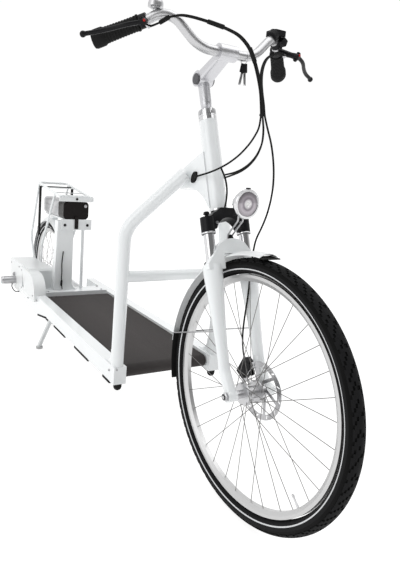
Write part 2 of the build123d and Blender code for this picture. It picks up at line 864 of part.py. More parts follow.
def build_head():
    """The head tube with its cups, the neck behind it and the cable grommets."""
    head = upright(head_radius, head_low, head_high) - upright(head_bore, head_low, head_high)
    save("head_tube", steered(head))
    bore = steerer_radius + axle_clearance
    lower = upright(cup_radius, head_low - lower_cup_height, head_low) - upright(bore, 0, head_high)
    upper = upright(cup_radius, head_high, head_high + cup_height) - upright(bore, 0, head_high * 2)
    save("headset_cups", steered(lower), steered(upper))

    # The neck closes the space between the head and the side tubes, arched below
    corners = [to_steer((behind(back), 0, height)) for back, height in neck_corners]
    top_rear, bottom_rear, arch_middle, arch_front = [(corner.X, 0, corner.Z) for corner in corners]
    outline = (
        Polyline(arch_front, (0, 0, head_low + neck_foot), (0, 0, neck_head), top_rear, bottom_rear)
        + ThreePointArc(bottom_rear, arch_middle, arch_front)
    )
    neck = steered(slab(outline, -neck_half_width, neck_half_width) - upright(head_radius, 0, head_high * 2))
    side_tubes = side_tube() + mirror(side_tube(), about=Plane.XZ)
    save("side_tubes", both_sides(side_tube() - steered(upright(head_radius, 0, head_high * 2))))
    neck -= side_tubes
    save("neck", largest(neck))
    place = (behind(grommet_back), neck_half_width, grommet_height)
    ring = Pos(*place) * Rot(-90, 0, 0) * Rot(0, 0, grommet_lean) * extrude(
        Ellipse(grommet_length / 2, grommet_width / 2), amount=grommet_thickness)
    grommets = both_sides(ring - side_tubes)
    save("grommets", grommets)
    bar = across(cross_tube_radius, -side_tube_out, side_tube_out, behind(side_tube_back), cross_tube_height)
    save("cross_tube", bar - side_tubes)
    return grommets


def side_tube():
    """The left tube: up from the deck's corner, then in and forwards to the neck."""
    points = (
        (behind(side_tube_back), side_tube_out, rail_top),
        (behind(side_tube_back), side_tube_out, side_bend_height),
        (behind(side_top_back), side_top_out, side_top_height),
    )
    return tube(points, side_tube_radius, side_bend_radius)


def rail():
    """The left deck rail: shallow in front, deeper behind, with its tail swept up under the case."""
    front = behind(rail_front_back)
    deep = rail_low - rail_dip
    tail_low = deep + rail_kick_rise
    rear = behind(rail_rear_back)
    dip = swerve(behind(rail_dip_back), rail_low, behind(rail_dip_end_back), deep)
    kick = swerve(behind(rail_kick_back), deep, rear, tail_low)
    outline = (
        Polyline(
            (behind(rail_dip_back), 0, rail_low),
            (front, 0, rail_low),
            (front, 0, rail_top),
            (rear, 0, rail_top),
            (rear, 0, tail_low),
        )
        + kick
        + Line((behind(rail_kick_back), 0, deep), (behind(rail_dip_end_back), 0, deep))
        + dip
    )
    return slab(outline, rail_inner, rail_outer)


def swerve(x_front, z_front, x_rear, z_rear):
    """Two arcs that lead from one level line to another, lower or higher."""
    middle = ((x_front + x_rear) / 2, 0, (z_front + z_rear) / 2)
    return (
        TangentArc((x_front, 0, z_front), middle, tangent=(-1, 0, 0))
        + TangentArc((x_rear, 0, z_rear), middle, tangent=(1, 0, 0))
    )


def build_deck():
    """Rails, belt on its rollers and board, ledge, cross rails, pads and corner feet."""
    solid = rail()
    side = side_tube()
    heel = behind(side_tube_back)
    toe = heel - side_tube_radius - gusset_length
    arch = ThreePointArc(
        (toe, 0, rail_top + gusset_lip),
        (heel - side_tube_radius - gusset_length / 4, 0, rail_top + gusset_height / 4),
        (heel - side_tube_radius, 0, rail_top + gusset_height))
    sides = Polyline(
        (heel - side_tube_radius, 0, rail_top + gusset_height),
        (heel, 0, rail_top + gusset_height),
        (heel, 0, rail_top),
        (toe, 0, rail_top),
        (toe, 0, rail_top + gusset_lip))
    web = slab(arch + sides, side_tube_out - gusset_thickness / 2, side_tube_out + gusset_thickness / 2) - side
    web = min(web.solids(), key=lambda piece: piece.center().X)
    save("rails", both_sides(solid + web))

    front = behind(front_roller_back)
    rear = behind(rear_roller_back)
    outer = roller_radius + belt_thickness
    loop = stadium(front, rear, outer) - stadium(front, rear, roller_radius)
    save("belt", loop)
    roller = across(roller_radius - running_gap, -belt_half_width + rail_gap, belt_half_width - rail_gap)
    roller += across(roller_pin_radius, -rail_inner, rail_inner)
    save("rollers", Pos(front, 0, roller_height) * roller, Pos(rear, 0, roller_height) * roller)
    board_top = belt_top - belt_thickness
    clear = roller_radius + rail_gap
    board = block(rear + clear, front - clear, -rail_inner, rail_inner,
                  board_top - board_thickness, board_top)
    save("belt_board", board)
    ledge = block(behind(ledge_back + ledge_depth), behind(ledge_back), -rail_inner, rail_inner,
                  rail_top - ledge_height, rail_top + ledge_lip)
    bars = [
        block(behind(back) - cross_rail_width / 2, behind(back) + cross_rail_width / 2,
              -rail_inner, rail_inner, rail_low, rail_low + cross_rail_height)
        for back in cross_rail_backs
    ]
    save("cross_members", ledge + stand_lugs(), *bars)

    # The pads follow the rail's lower edge
    strip = Pos(0, 0, -pad_thickness) * solid - solid
    pads = [
        strip & block(behind(rear_end), behind(front_end), rail_outer - pad_width, rail_outer, 0, rail_low)
        for front_end, rear_end in pad_spans
    ]
    foot = upright(foot_radius, rail_low - foot_height / 2, rail_low, behind(foot_back), rail_middle)
    foot += Pos(behind(foot_back), rail_middle, rail_low - foot_height / 2) * Sphere(foot_radius * foot_share)
    save("rubber_pads", both_sides(foot - solid, *pads))


def stadium(front, rear, radius):
    """A belt's outline between two rollers, as wide as the belt."""
    low = roller_height - radius
    high = roller_height + radius
    outline = (
        Line((rear, 0, low), (front, 0, low))
        + ThreePointArc((front, 0, low), (front + radius, 0, roller_height), (front, 0, high))
        + Line((front, 0, high), (rear, 0, high))
        + ThreePointArc((rear, 0, high), (rear - radius, 0, roller_height), (rear, 0, low))
    )
    return slab(outline, -belt_half_width, belt_half_width)


def build_mast():
    """The tapered post, the thin one and the cradle, with the battery that lies in it."""
    ledge_top = rail_top + ledge_lip
    front = behind(post_back)
    right = post_right_low
    outline = (
        Line((0, right, ledge_top), (0, post_left + post_flare, ledge_top))
        + ThreePointArc(
            (0, post_left + post_flare, ledge_top),
            (0, post_left + post_flare / 4, ledge_top + post_flare_height / 3),
            (0, post_left, ledge_top + post_flare_height))
        + Polyline(
            (0, post_left, ledge_top + post_flare_height),
            (0, post_left, post_top),
            (0, post_right_high, post_top),
            (0, right, ledge_top))
    )
    post = Pos(front - post_depth, 0, 0) * extrude(make_face(outline), amount=post_depth, dir=(1, 0, 0))
    thin = upright(thin_post_radius, ledge_top, post_top, front - post_depth / 2, thin_post_side)
    save("rear_posts", post, thin)

    # The cradle lies on the posts, with a lip that hangs in front of them
    cradle_top = post_top + cradle_thickness
    rear = behind(battery_front_back + battery_length)
    half = battery_width / 2 - battery_corner / 2
    cradle = block(rear, front, -half, half, post_top, cradle_top)
    lip_front = front + cradle_lip_thickness
    lip = block(front, lip_front, -cradle_lip_half, cradle_lip_half,
                post_top - cradle_lip_depth, cradle_top)
    wheel = Pos(rear_x, 0, rear_radius)
    tab_x = behind(cradle_tab_back)
    tab = block(tab_x - cradle_tab_width, tab_x, -cradle_tab_width / 2, cradle_tab_width / 2,
                rear_radius + rear_guard_radius - rear_guard_crown, post_top)
    tab -= wheel * across(rear_guard_radius + running_gap, -guard_width, guard_width)
    cradle += lip + tab
    save("cradle", cradle)

    # The battery is a bright extrusion with a dark cap in front
    face = behind(battery_front_back)
    middle_z = cradle_top + battery_height / 2
    section = Plane(origin=(face, 0, middle_z), x_dir=(0, 1, 0), z_dir=(-1, 0, 0))
    whole = extrude(
        section * RectangleRounded(battery_width, battery_height, battery_corner), amount=battery_length)
    joint = face - battery_cap_depth
    body = whole - block(joint, face + battery_cap_depth, -battery_width, battery_width, 0, middle_z * 2)
    save("battery", body)
    cap = whole - block(joint - battery_length, joint, -battery_width, battery_width, 0, middle_z * 2)
    cap = fillet(cap.faces().sort_by(Axis.X)[-1].edges(), battery_cap_round)
    latch_face = lip_front + latch_proud
    latch = block(lip_front, latch_face, -latch_width / 2, latch_width / 2,
                  cradle_top - latch_length, cradle_top)
    latch += block(face - battery_cap_round * 2, latch_face, -latch_width / 2, latch_width / 2,
                   cradle_top, cradle_top + latch_proud * 3)
    save("battery_cap", cap + latch - cradle)


def rack_height(back):
    """Height of the rack's rails at a distance behind the front axle: it rises to the rear."""
    share = (back - rack_front_back) / (rack_rear_back - rack_front_back)
    return rack_front_height + rack_rise * share


def build_rack():
    """The rack's hoop, slats and front plate, and the stays that carry it."""
    half = rack_half_width - rack_tube_radius
    low = rack_front_height
    front = behind(rack_front_back)
    rear = behind(rack_rear_back) + rack_tube_radius
    high = rack_height(rack_rear_back)
    hoop = tube([(front, half, low), (rear, half, high), (rear, -half, high), (front, -half, low)],
                rack_tube_radius, rack_bend_radius)
    plate = block(front - rack_plate_length, front, -rack_half_width, rack_half_width,
                  low - rack_plate_thickness / 2, low + rack_plate_thickness / 2)
    lip = block(front, front + rack_plate_thickness, -rack_half_width, rack_half_width,
                battery_high(), low + rack_plate_thickness / 2)
    pad = block(front - rack_plate_length, front, -rack_pad_half_width, rack_pad_half_width,
                low, low + rack_tube_radius + rack_pad_rise)
    rack = hoop + plate + lip + pad
    for share in rack_slat_shares:
        back = rack_front_back + share * (rack_rear_back - rack_front_back)
        level = rack_height(back)
        rack += Pos(behind(back), 0, level) * Box(rack_slat_width, half * 2, rack_slat_thickness)
    save("rack", rack)

    # Left stays reach the plate and the axle, the right ones stand on the case
    stop = slab(case_outline(), -rail_outer, 0)
    reach = stay_plate_gap + stay_plate_thickness + stay_tube_radius + running_gap
    front_stay = [(behind(rack_stay_back), reach, rack_height(rack_stay_back)),
                  (behind(rack_knee_back), reach, rack_knee_height),
                  (behind(rack_ankle_back), reach, rack_ankle_height)]
    rear_stay = [(rear + rack_bend_radius, reach, high),
                 (behind(rear_knee_back), reach, rear_knee_height),
                 (rear_x - stay_foot, reach, rear_radius)]
    stays = [
        tube(front_stay, stay_tube_radius, rack_knee_radius),
        tube(rear_stay, stay_tube_radius, rear_knee_radius),
    ]
    left = [largest(stay - rack) for stay in stays]
    right = [mirror(stay, about=Plane.XZ) - stop - rack for stay in left]
    right = [max(stay.solids(), key=lambda solid: solid.center().Z) for stay in right]
    save("rack_stays", *left, *right)


def battery_high():
    """The height of the battery's top face."""
    return post_top + cradle_thickness + battery_height


def case_outline():
    """The drive case seen from its side, with a top that falls to the rear."""
    front = behind(case_front_back)
    rear = behind(case_rear_back)
    return flat(
        (rear, case_low),
        (front, case_low),
        (front, case_high - case_shoulder),
        (front - case_shoulder, case_high),
        (rear, case_high - case_fall),
    )


def build_case():
    """The drive case, the fairing over the rail's tail, the left stay plate, axle, nuts and peg."""
    rails = rail() + mirror(rail(), about=Plane.XZ)
    front = behind(case_front_back)
    plate_outer = stay_plate_gap + stay_plate_thickness
    axle = across(axle_radius, -rail_outer - axle_end, plate_outer + axle_end, rear_x, rear_radius)
    case = slab(case_outline(), -rail_outer, -case_inner) - rails
    save("drive_case", case - axle)

    cover_front = behind(cover_front_back)
    cover_rear = behind(cover_rear_back)
    cover_high = case_high - case_fall / 2
    rise = cover_high - cover_low
    outline = (
        Polyline((cover_front, 0, cover_low), (cover_rear, 0, cover_low), (cover_rear, 0, cover_high),
                 (cover_front - cover_curve, 0, cover_high))
        + ThreePointArc(
            (cover_front - cover_curve, 0, cover_high),
            (cover_front - cover_curve * (1 - cover_bulge_share), 0, cover_low + rise * cover_bulge_share),
            (cover_front, 0, cover_low))
    )
    outer = rail_outer + cover_thickness
    cover = slab(outline, -outer, -rail_outer)
    slit_foot = cover_rear + cover_slit
    slit = flat((slit_foot, cover_low + cover_slit), (slit_foot + cover_slit * 2, cover_low + cover_slit),
                (slit_foot, cover_high - cover_slit))
    cover -= slab(slit, -outer, -rail_outer)
    fairing = slab(outline, -rail_outer, -rail_inner) - case - rails
    fairing -= block(behind(wheelbase), front, -rail_outer, 0, 0, case_high)
    save("case_cover", cover + fairing)

    plate = block(rear_x, behind(ledge_back + ledge_depth), stay_plate_gap, plate_outer,
                  rail_top - stay_plate_height, rail_top)
    plate += across(stay_plate_height / 2, stay_plate_gap, plate_outer, rear_x, rear_radius)
    save("left_stay_plate", plate - axle)
    spacer = across(hub_end_radius, rear_hub_half + side_clearance, stay_plate_gap, rear_x, rear_radius)
    nut = across(nut_radius, plate_outer, plate_outer + axle_end, rear_x, rear_radius)
    outer_nut = across(nut_radius, -rail_outer - axle_end, -rail_outer, rear_x, rear_radius)
    axle += spacer + nut + outer_nut
    save("rear_axle", axle)
    peg = across(peg_radius, -rail_outer - peg_length, -rail_outer, rear_x + peg_ahead, rear_radius - peg_drop)
    save("rear_peg", peg - axle)


def build_rear_guard():
    """The rear mudguard."""
    strip = guard(rear_guard_radius, rear_guard_ahead, rear_guard_behind, rear_guard_crown)
    save("rear_guard", Pos(rear_x, 0, rear_radius) * strip)


def route(points, shift=0.0):
    """The points of a route as places on the vehicle, moved back by a shift."""
    return [Vector(behind(back + shift), out, height) for back, out, height in points]


def cable(points):
    """A cable: straight runs joined by arcs as large as the runs allow."""
    bends = []
    for before, corner, after in zip(points, points[1:], points[2:]):
        first = corner - before
        second = after - corner
        turn = radians(first.get_angle(second))
        bends.append(cable_bend_share * min(first.length, second.length) / tan(turn / 2))
    print("cable bends", [round(bend) for bend in bends])
    return tube([tuple(point) for point in points], cable_radius, bends)


def build_cables(levers, grommets, crown, caliper):
    """Lever cables, the cables into the frame, the front brake's hose and the lamp's wire."""
    pair = cable_radius + running_gap * 4
    right = [cable(route(right_lever_route, shift)) for shift in (pair, -pair)]
    left = cable(route(left_lever_route, pair))
    save("lever_cables", *[largest(strand - levers) for strand in (*right, left)])
    routes = (right_frame_route, left_frame_route, second_frame_route)
    frame = [largest(cable(route(points)) - grommets) for points in routes]
    save("steering_cables", *frame)
    lower = [steering.from_local_coords(Vector(*point)) for point in hose_steered_route]
    hose = cable(route(left_lever_route, -pair) + route(hose_route) + lower)
    save("brake_hose", largest(hose - levers - caliper))
    wire = cable(route(lamp_wire_route))
    save("lamp_wire", largest(wire - frame[0] - crown))


def stand():
    """The stand's tube: a cross bar that is its own pivot, and two splayed legs."""
    reach = stand_foot_out + stand_splay
    knee = (behind(stand_back), stand_half_width, stand_height)
    foot = (behind(stand_back - stand_foot_ahead), reach, 0)
    other = [(x, -y, z) for x, y, z in (knee, foot)]
    whole = tube([foot, knee, other[0], other[1]], stand_tube_radius, stand_bend_radius)
    floor = block(behind(wheelbase), behind(0), -reach * 2, reach * 2, -stand_height, stand_pad_thickness)
    return whole - floor


def build_stand():
    """The stand with its rubber feet."""
    save("stand_legs", stand())
    place = behind(stand_back - stand_foot_ahead)
    pad = upright(stand_pad_radius, 0, stand_pad_thickness, place, stand_foot_out)
    save("stand_feet", both_sides(pad))


def stand_lugs():
    """The lugs under the ledge, bored for the stand's cross bar."""
    x = behind(stand_back)
    lug = block(x - lug_width / 2, x + lug_width / 2, lug_reach - lug_thickness, lug_reach,
                stand_height, rail_top - ledge_height)
    lug += across(lug_width / 2, lug_reach - lug_thickness, lug_reach, x, stand_height)
    lug -= across(stand_tube_radius + axle_clearance, 0, lug_reach * 2, x, stand_height)
    return lug + mirror(lug, about=Plane.XZ)


os.makedirs("parts", exist_ok=True)
build_wheels()
fork_crown, fork_lowers, brake_caliper = build_fork()
build_front_guard(fork_lowers)
build_lamp(fork_lowers)
handlebar = build_stem()
brake_levers = build_grips(handlebar)
frame_grommets = build_head()
build_cables(brake_levers, frame_grommets, fork_crown, brake_caliper)
build_deck()
build_mast()
build_rack()
build_case()
build_rear_guard()
build_stand()
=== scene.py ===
import json
import math

import bpy
from mathutils import Matrix, Vector


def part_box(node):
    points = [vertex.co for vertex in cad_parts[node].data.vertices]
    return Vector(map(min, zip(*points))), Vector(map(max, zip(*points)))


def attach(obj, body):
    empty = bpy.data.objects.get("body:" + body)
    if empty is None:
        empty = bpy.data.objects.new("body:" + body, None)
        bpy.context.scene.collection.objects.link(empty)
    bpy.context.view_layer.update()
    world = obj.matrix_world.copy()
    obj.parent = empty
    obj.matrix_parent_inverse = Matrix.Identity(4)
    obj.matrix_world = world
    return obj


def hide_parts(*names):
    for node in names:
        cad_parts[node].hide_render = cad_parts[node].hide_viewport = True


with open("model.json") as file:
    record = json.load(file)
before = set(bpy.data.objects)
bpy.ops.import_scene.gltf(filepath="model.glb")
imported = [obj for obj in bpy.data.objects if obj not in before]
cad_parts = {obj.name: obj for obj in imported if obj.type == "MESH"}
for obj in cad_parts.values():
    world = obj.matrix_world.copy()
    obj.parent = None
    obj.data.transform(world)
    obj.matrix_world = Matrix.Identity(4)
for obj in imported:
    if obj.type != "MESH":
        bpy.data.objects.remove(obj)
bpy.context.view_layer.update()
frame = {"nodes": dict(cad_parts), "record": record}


def middle(node):
    """The middle of a node's box."""
    low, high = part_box(node)
    return (low + high) / 2


def top(node):
    """The middle of the top of a node's box."""
    place = middle(node)
    place.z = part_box(node)[1].z
    return place


# Sizes as in the part's source, in metres
FORK_OFFSET = 0.042
LEG_AHEAD, LEG_LEFT = 0.024, 0.06
FRONT_TYRE = (0.362, 0.044, 0.048)  # radius, depth, width
REAR_TYRE = (0.299, 0.042, 0.046)
TREAD_DEPTH = 0.002
TREAD_AROUND, TREAD_OVER, TREAD_LANES = 288, 32, 4
POSITIVE = 1000  # added to a count of faces, to keep it above zero
WALL_LINE_INSET, WALL_LINE_HALF, WALL_LINE_SIDE = 0.0295, 0.0016, 0.012

# Places of the vehicle, in metres: X forwards, Y to the left, Z up
FRONT_AXLE = middle("front_rim")
REAR_AXLE = middle("rear_rim")
HEAD_ANGLE = math.radians(68.5)
STEER_UP = Vector((-math.cos(HEAD_ANGLE), 0, math.sin(HEAD_ANGLE)))
STEER_AHEAD = Vector((math.sin(HEAD_ANGLE), 0, math.cos(HEAD_ANGLE)))
STEER_FOOT = FRONT_AXLE - STEER_AHEAD * FORK_OFFSET
STEER = Matrix.Translation(STEER_FOOT) @ Matrix((STEER_AHEAD, (0, 1, 0), STEER_UP)).transposed().to_4x4()
UP = Vector((0, 0, 1))

# The photograph's view
PICTURE = (400, 588)
VIEW_MIDDLE = (149.5, 294.8)
VIEW_FOCUS = 499.6
VIEW_PLACE = Vector((FRONT_AXLE.x + 0.952, -0.845, 0.926))
VIEW_YAW = math.radians(28.58)
VIEW_PITCH = math.radians(14.21)
VIEW_ROLL = math.radians(4.19)

MIRROR = Matrix.Scale(-1, 4, (0, 1, 0))
CASE_SIDE, COVER_SIDE = -209, -223  # the drive case's outer faces, in millimetres left of the middle


def at(back, left, high):
    """A point in millimetres: behind the front axle, left of the middle, above the ground."""
    return Vector((FRONT_AXLE.x - back / 1000, left / 1000, high / 1000))


def steered(ahead, left, along):
    """A point in millimetres of the steering frame."""
    return STEER @ (Vector((ahead, left, along)) / 1000)


def on_leg(side, along):
    """The matrix that stands a piece round a fork leg, this many millimetres up the steering frame."""
    return STEER @ Matrix.Translation((LEG_AHEAD, LEG_LEFT * side, along / 1000))


def aim(place, direction):
    """The matrix that stands a piece on a place, with its Z along a direction."""
    return Matrix.Translation(place) @ Vector(direction).to_track_quat("Z", "Y").to_matrix().to_4x4()


# Modelling, as by hand


def alone(piece):
    """Select one piece and make it active."""
    bpy.ops.object.select_all(action="DESELECT")
    piece.select_set(True)
    bpy.context.view_layer.objects.active = piece


def pick(piece, test):
    """Enter edit mode with the faces selected whose middle and normal pass a test."""
    alone(piece)
    bpy.ops.object.mode_set(mode="EDIT")
    bpy.ops.mesh.select_mode(type="FACE")
    bpy.ops.mesh.select_all(action="DESELECT")
    bpy.ops.object.mode_set(mode="OBJECT")
    for face in piece.data.polygons:
        face.select = test(face.center, face.normal)
    bpy.ops.object.mode_set(mode="EDIT")


def leave(recalculate=False):
    """Leave edit mode, with the normals turned outwards where the shape needs it."""
    if recalculate:
        bpy.ops.mesh.select_all(action="SELECT")
        bpy.ops.mesh.remove_doubles(threshold=0.00002)
        bpy.ops.mesh.normals_make_consistent(inside=False)
    bpy.ops.object.mode_set(mode="OBJECT")


def settle(piece, name, slot, body, place=None, angle=35, finish=None):
    """Carry a piece to its place and give it its name, body and finish, by default the finish of its slot."""
    if place is not None:
        piece.matrix_world = place @ piece.matrix_world
    alone(piece)
    bpy.ops.object.transform_apply(location=True, rotation=True, scale=True)
    bpy.ops.object.shade_smooth_by_angle(angle=math.radians(angle))
    piece.name = name
    piece.data.name = name
    piece.data.materials.clear()
    piece.data.materials.append(finish or FINISHES[slot])
    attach(piece, body)
    return piece


def again(piece, name, place):
    """A copy of a settled piece, moved or mirrored, with its own mesh."""
    copy = piece.copy()
    copy.data = piece.data.copy()
    copy.name = name
    copy.data.name = name
    copy.data.transform(place)
    if place.determinant() < 0:
        copy.data.flip_normals()
    bpy.context.scene.collection.objects.link(copy)
    return copy


def turned(steps, segments=40):
    """A turned form along Z, drawn out ring by ring through radii and heights in millimetres."""
    radius, height = steps[0]
    bpy.ops.object.select_all(action="DESELECT")
    bpy.ops.mesh.primitive_circle_add(
        radius=radius / 1000, vertices=segments, location=(0, 0, height / 1000), fill_type="NGON")
    piece = bpy.context.object
    alone(piece)
    bpy.ops.object.transform_apply(location=True, rotation=True, scale=True)
    bpy.ops.object.mode_set(mode="EDIT")
    bpy.ops.mesh.select_all(action="SELECT")
    for wide, high in steps[1:]:
        bpy.ops.mesh.extrude_region_move(TRANSFORM_OT_translate={"value": (0, 0, (high - height) / 1000)})
        bpy.ops.transform.resize(value=(wide / radius, wide / radius, 1), center_override=(0, 0, high / 1000))
        radius, height = wide, high
    leave(recalculate=True)
    return piece


def fluted(piece, count, depth, low, high):
    """Press every other face of a turned form inwards or outwards, between two heights."""
    def chosen(middle, normal):
        turn = int(math.floor((math.atan2(middle.y, middle.x) / math.tau % 1) * count))
        return turn % 2 == 0 and abs(normal.z) < 0.5 and low < middle.z * 1000 < high
    pick(piece, chosen)
    bpy.ops.mesh.extrude_region_shrink_fatten(TRANSFORM_OT_shrink_fatten={"value": depth / 1000})
    leave()
    return piece


def block(size, edge, place=(0, 0, 0), taper=1.0):
    """A block with broken edges and a top that may be smaller, sizes in millimetres."""
    bpy.ops.object.select_all(action="DESELECT")
    bpy.ops.mesh.primitive_cube_add(size=0.001, location=Vector(place) / 1000)
    piece = bpy.context.object
    piece.scale = size
    alone(piece)
    bpy.ops.object.transform_apply(location=True, rotation=True, scale=True)
    top = place[2] / 1000
    pick(piece, lambda middle, normal: normal.z > 0.9)
    bpy.ops.transform.resize(value=(taper, taper, 1), center_override=(place[0] / 1000, place[1] / 1000, top))
    bpy.ops.mesh.select_all(action="SELECT")
    bpy.ops.mesh.bevel(offset=edge / 1000, segments=3, affect="EDGES", profile=0.5)
    leave()
    return piece


def bent(points, radius):
    """A bent rod or blade along a smooth line through its control points, radius in millimetres."""
    curve = bpy.data.curves.new("bent", "CURVE")
    curve.dimensions = "3D"
    curve.bevel_depth = radius / 1000
    curve.bevel_resolution = 3
    curve.use_fill_caps = True
    spline = curve.splines.new("NURBS")
    spline.points.add(len(points) - 1)
    for corner, point in zip(spline.points, points):
        corner.co = (*point, 1)
    spline.order_u = 3
    spline.use_endpoint_u = True
    spline.resolution_u = 6
    piece = bpy.data.objects.new("bent", curve)
    bpy.context.scene.collection.objects.link(piece)
    alone(piece)
    bpy.ops.object.convert(target="MESH")
    return bpy.context.object


def bolt(name, place, direction, radius, body, slot="steel"):
    """A round-headed bolt with a socket in its head."""
    high = radius * 0.7
    head = turned([(radius, 0), (radius, high * 0.5), (radius * 0.8, high), (radius * 0.5, high),
                   (radius * 0.45, high * 0.45)], 20)
    return settle(head, name, slot, body, aim(place, direction))


def hex_nut(name, place, direction, radius, height, body, slot="steel"):
    """A six-sided nut with a washer under it and a rounded crown."""
    washer = turned([(radius * 1.25, 0), (radius * 1.25, 1.4), (radius * 1.02, 1.4), (radius, 1.5),
                     (radius, height - 1.2), (radius * 0.86, height), (radius * 0.5, height),
                     (radius * 0.48, height * 1.2)], 6)
    return settle(washer, name, slot, body, aim(place, direction), 25)


# Shader maths as expressions, and the finishes

LAMP_MIDDLE = middle("headlamp_lens")
BLACK_SHEEN = 0.12


class Wire:
    """A socket that takes part in sums."""

    def __init__(self, paint, socket):
        self.paint = paint
        self.socket = socket

    def sum(self, operation, *others):
        return self.paint.node("ShaderNodeMath", {"operation": operation}, *others)

    def __add__(self, other):
        return self.sum("ADD", self, other)

    __radd__ = __add__

    def __sub__(self, other):
        return self.sum("SUBTRACT", self, other)

    def __rsub__(self, other):
        return self.sum("SUBTRACT", other, self)

    def __mul__(self, other):
        return self.sum("MULTIPLY", self, other)

    __rmul__ = __mul__

    def __truediv__(self, other):
        return self.sum("DIVIDE", self, other)

    def __gt__(self, other):
        return self.sum("GREATER_THAN", self, other)

    def __lt__(self, other):
        return self.sum("LESS_THAN", self, other)

    def __mod__(self, other):
        return self.sum("FLOORED_MODULO", self, other)

    def __pow__(self, other):
        return self.sum("POWER", self, other)

    def size(self):
        return self.sum("ABSOLUTE", self)

    def clip(self):
        return self.paint.node("ShaderNodeClamp", {}, self)


class Paint:
    """A material, built node by node."""

    def __init__(self, name):
        self.material = bpy.data.materials.new(name)
        self.material.use_nodes = True
        self.tree = self.material.node_tree
        self.shader = self.tree.nodes["Principled BSDF"]

    def node(self, kind, settings, *values, out=0, **named):
        """Add a node: its settings first, then the values or links of its sockets."""
        made = self.tree.nodes.new(kind)
        for name, value in settings.items():
            if name == "stops":
                self.stops(made.color_ramp, value)
            else:
                setattr(made, name, value)
        for place, value in list(enumerate(values)) + list(named.items()):
            self.feed(made.inputs[place.replace("_", " ") if isinstance(place, str) else place], value)
        return Wire(self, made.outputs[out])

    def feed(self, socket, value):
        if isinstance(value, Wire):
            self.tree.links.new(value.socket, socket)
        elif value is not None:
            socket.default_value = value

    def stops(self, ramp, stops):
        while len(ramp.elements) > 1:
            ramp.elements.remove(ramp.elements[0])
        ramp.elements[0].position, ramp.elements[0].color = stops[0][0], (*stops[0][1], 1)
        for place, color in stops[1:]:
            ramp.elements.new(place).color = (*color, 1)

    def set(self, **named):
        for name, value in named.items():
            self.feed(self.shader.inputs[name.replace("_", " ")], value)
        return self

    def place(self):
        """Object coordinates."""
        return self.node("ShaderNodeTexCoord", {}, out=3)

    def axes(self, vector=None):
        """The X, Y and Z of a vector, or of the place on the object."""
        split = self.node("ShaderNodeSeparateXYZ", {}, vector or self.place())
        return [Wire(self, output) for output in split.socket.node.outputs]

    def noise(self, scale, detail=4.0, rough=0.55, vector=None, out=0):
        return self.node("ShaderNodeTexNoise", {}, vector or self.place(), Scale=scale, Detail=detail,
                         Roughness=rough, out=out)

    def ramp(self, factor, *stops):
        return self.node("ShaderNodeValToRGB", {"stops": stops}, factor)

    def blend(self, factor, a, b):
        """A mix of two colours."""
        mix = self.tree.nodes.new("ShaderNodeMix")
        mix.data_type = "RGBA"
        self.feed(mix.inputs[0], factor)
        for socket, value in ((mix.inputs[6], a), (mix.inputs[7], b)):
            self.feed(socket, value if isinstance(value, Wire) else (*value, 1))
        return Wire(self, mix.outputs[2])

    def bump(self, height, depth, strength=1.0, normal=None):
        return self.node("ShaderNodeBump", {}, Strength=strength, Distance=depth, Height=height,
                         Normal=normal)


def road_dust(paint, color, amount=0.25, low=0.05, high=0.45):
    """A colour that greys towards the ground, in soft patches."""
    height = paint.axes()[2]
    share = ((high - height) / (high - low)).clip() * amount
    patches = paint.noise(9.0, 6.0, 0.6)
    return paint.blend((share * patches).clip(), color, (0.30, 0.28, 0.25))


def enamel():
    """Gloss cool-white enamel over welded tubes, with a faint orange peel."""
    paint = Paint("white_enamel")
    tone = paint.blend(paint.noise(3.0, 3.0), (0.80, 0.825, 0.835), (0.84, 0.86, 0.865))
    rough = 0.2 + paint.noise(40.0, 3.0) * 0.1
    peel = paint.bump(paint.noise(420.0, 2.0), 0.00012, 0.35)
    paint.set(Base_Color=road_dust(paint, tone, 0.2), Roughness=rough, Coat_Weight=0.6, Coat_Roughness=0.06,
              Normal=peel)
    return paint.material


def moulding(name="white_moulding", bright=1.0, rough=0.32):
    """White moulded plastic, smoother than the enamel and a little warmer."""
    paint = Paint(name)
    low = tuple(bright * value for value in (0.80, 0.82, 0.825))
    high = tuple(bright * value for value in (0.84, 0.855, 0.857))
    tone = paint.blend(paint.noise(5.0, 3.0), low, high)
    grain = paint.bump(paint.noise(900.0, 2.0), 0.00006, 0.3)
    paint.set(Base_Color=road_dust(paint, tone, 0.3), Roughness=rough + paint.noise(55.0) * 0.1,
              Coat_Weight=0.25, Normal=grain)
    return paint.material


def black_plastic(name="black_plastic", color=(0.009, 0.009, 0.010), rough=0.42):
    """Moulded plastic with a fine leathery grain."""
    paint = Paint(name)
    grain = paint.bump(paint.noise(1400.0, 3.0), 0.00015, 0.5)
    tone = paint.blend(paint.noise(30.0), color, tuple(value * 1.5 for value in color))
    paint.set(Base_Color=tone, Roughness=rough + paint.noise(80.0) * 0.15, Normal=grain,
              Specular_IOR_Level=BLACK_SHEEN)
    return paint.material


def rubber(name="black_rubber", color=(0.007, 0.007, 0.007), rough=0.62):
    """Matte rubber with a dusty bloom."""
    paint = Paint(name)
    tone = paint.blend(paint.noise(60.0, 5.0), color, tuple(value * 2.2 for value in color))
    paint.set(Base_Color=tone, Roughness=rough + paint.noise(200.0) * 0.2, Specular_IOR_Level=BLACK_SHEEN,
              Normal=paint.bump(paint.noise(1100.0, 3.0), 0.0002, 0.5))
    return paint.material


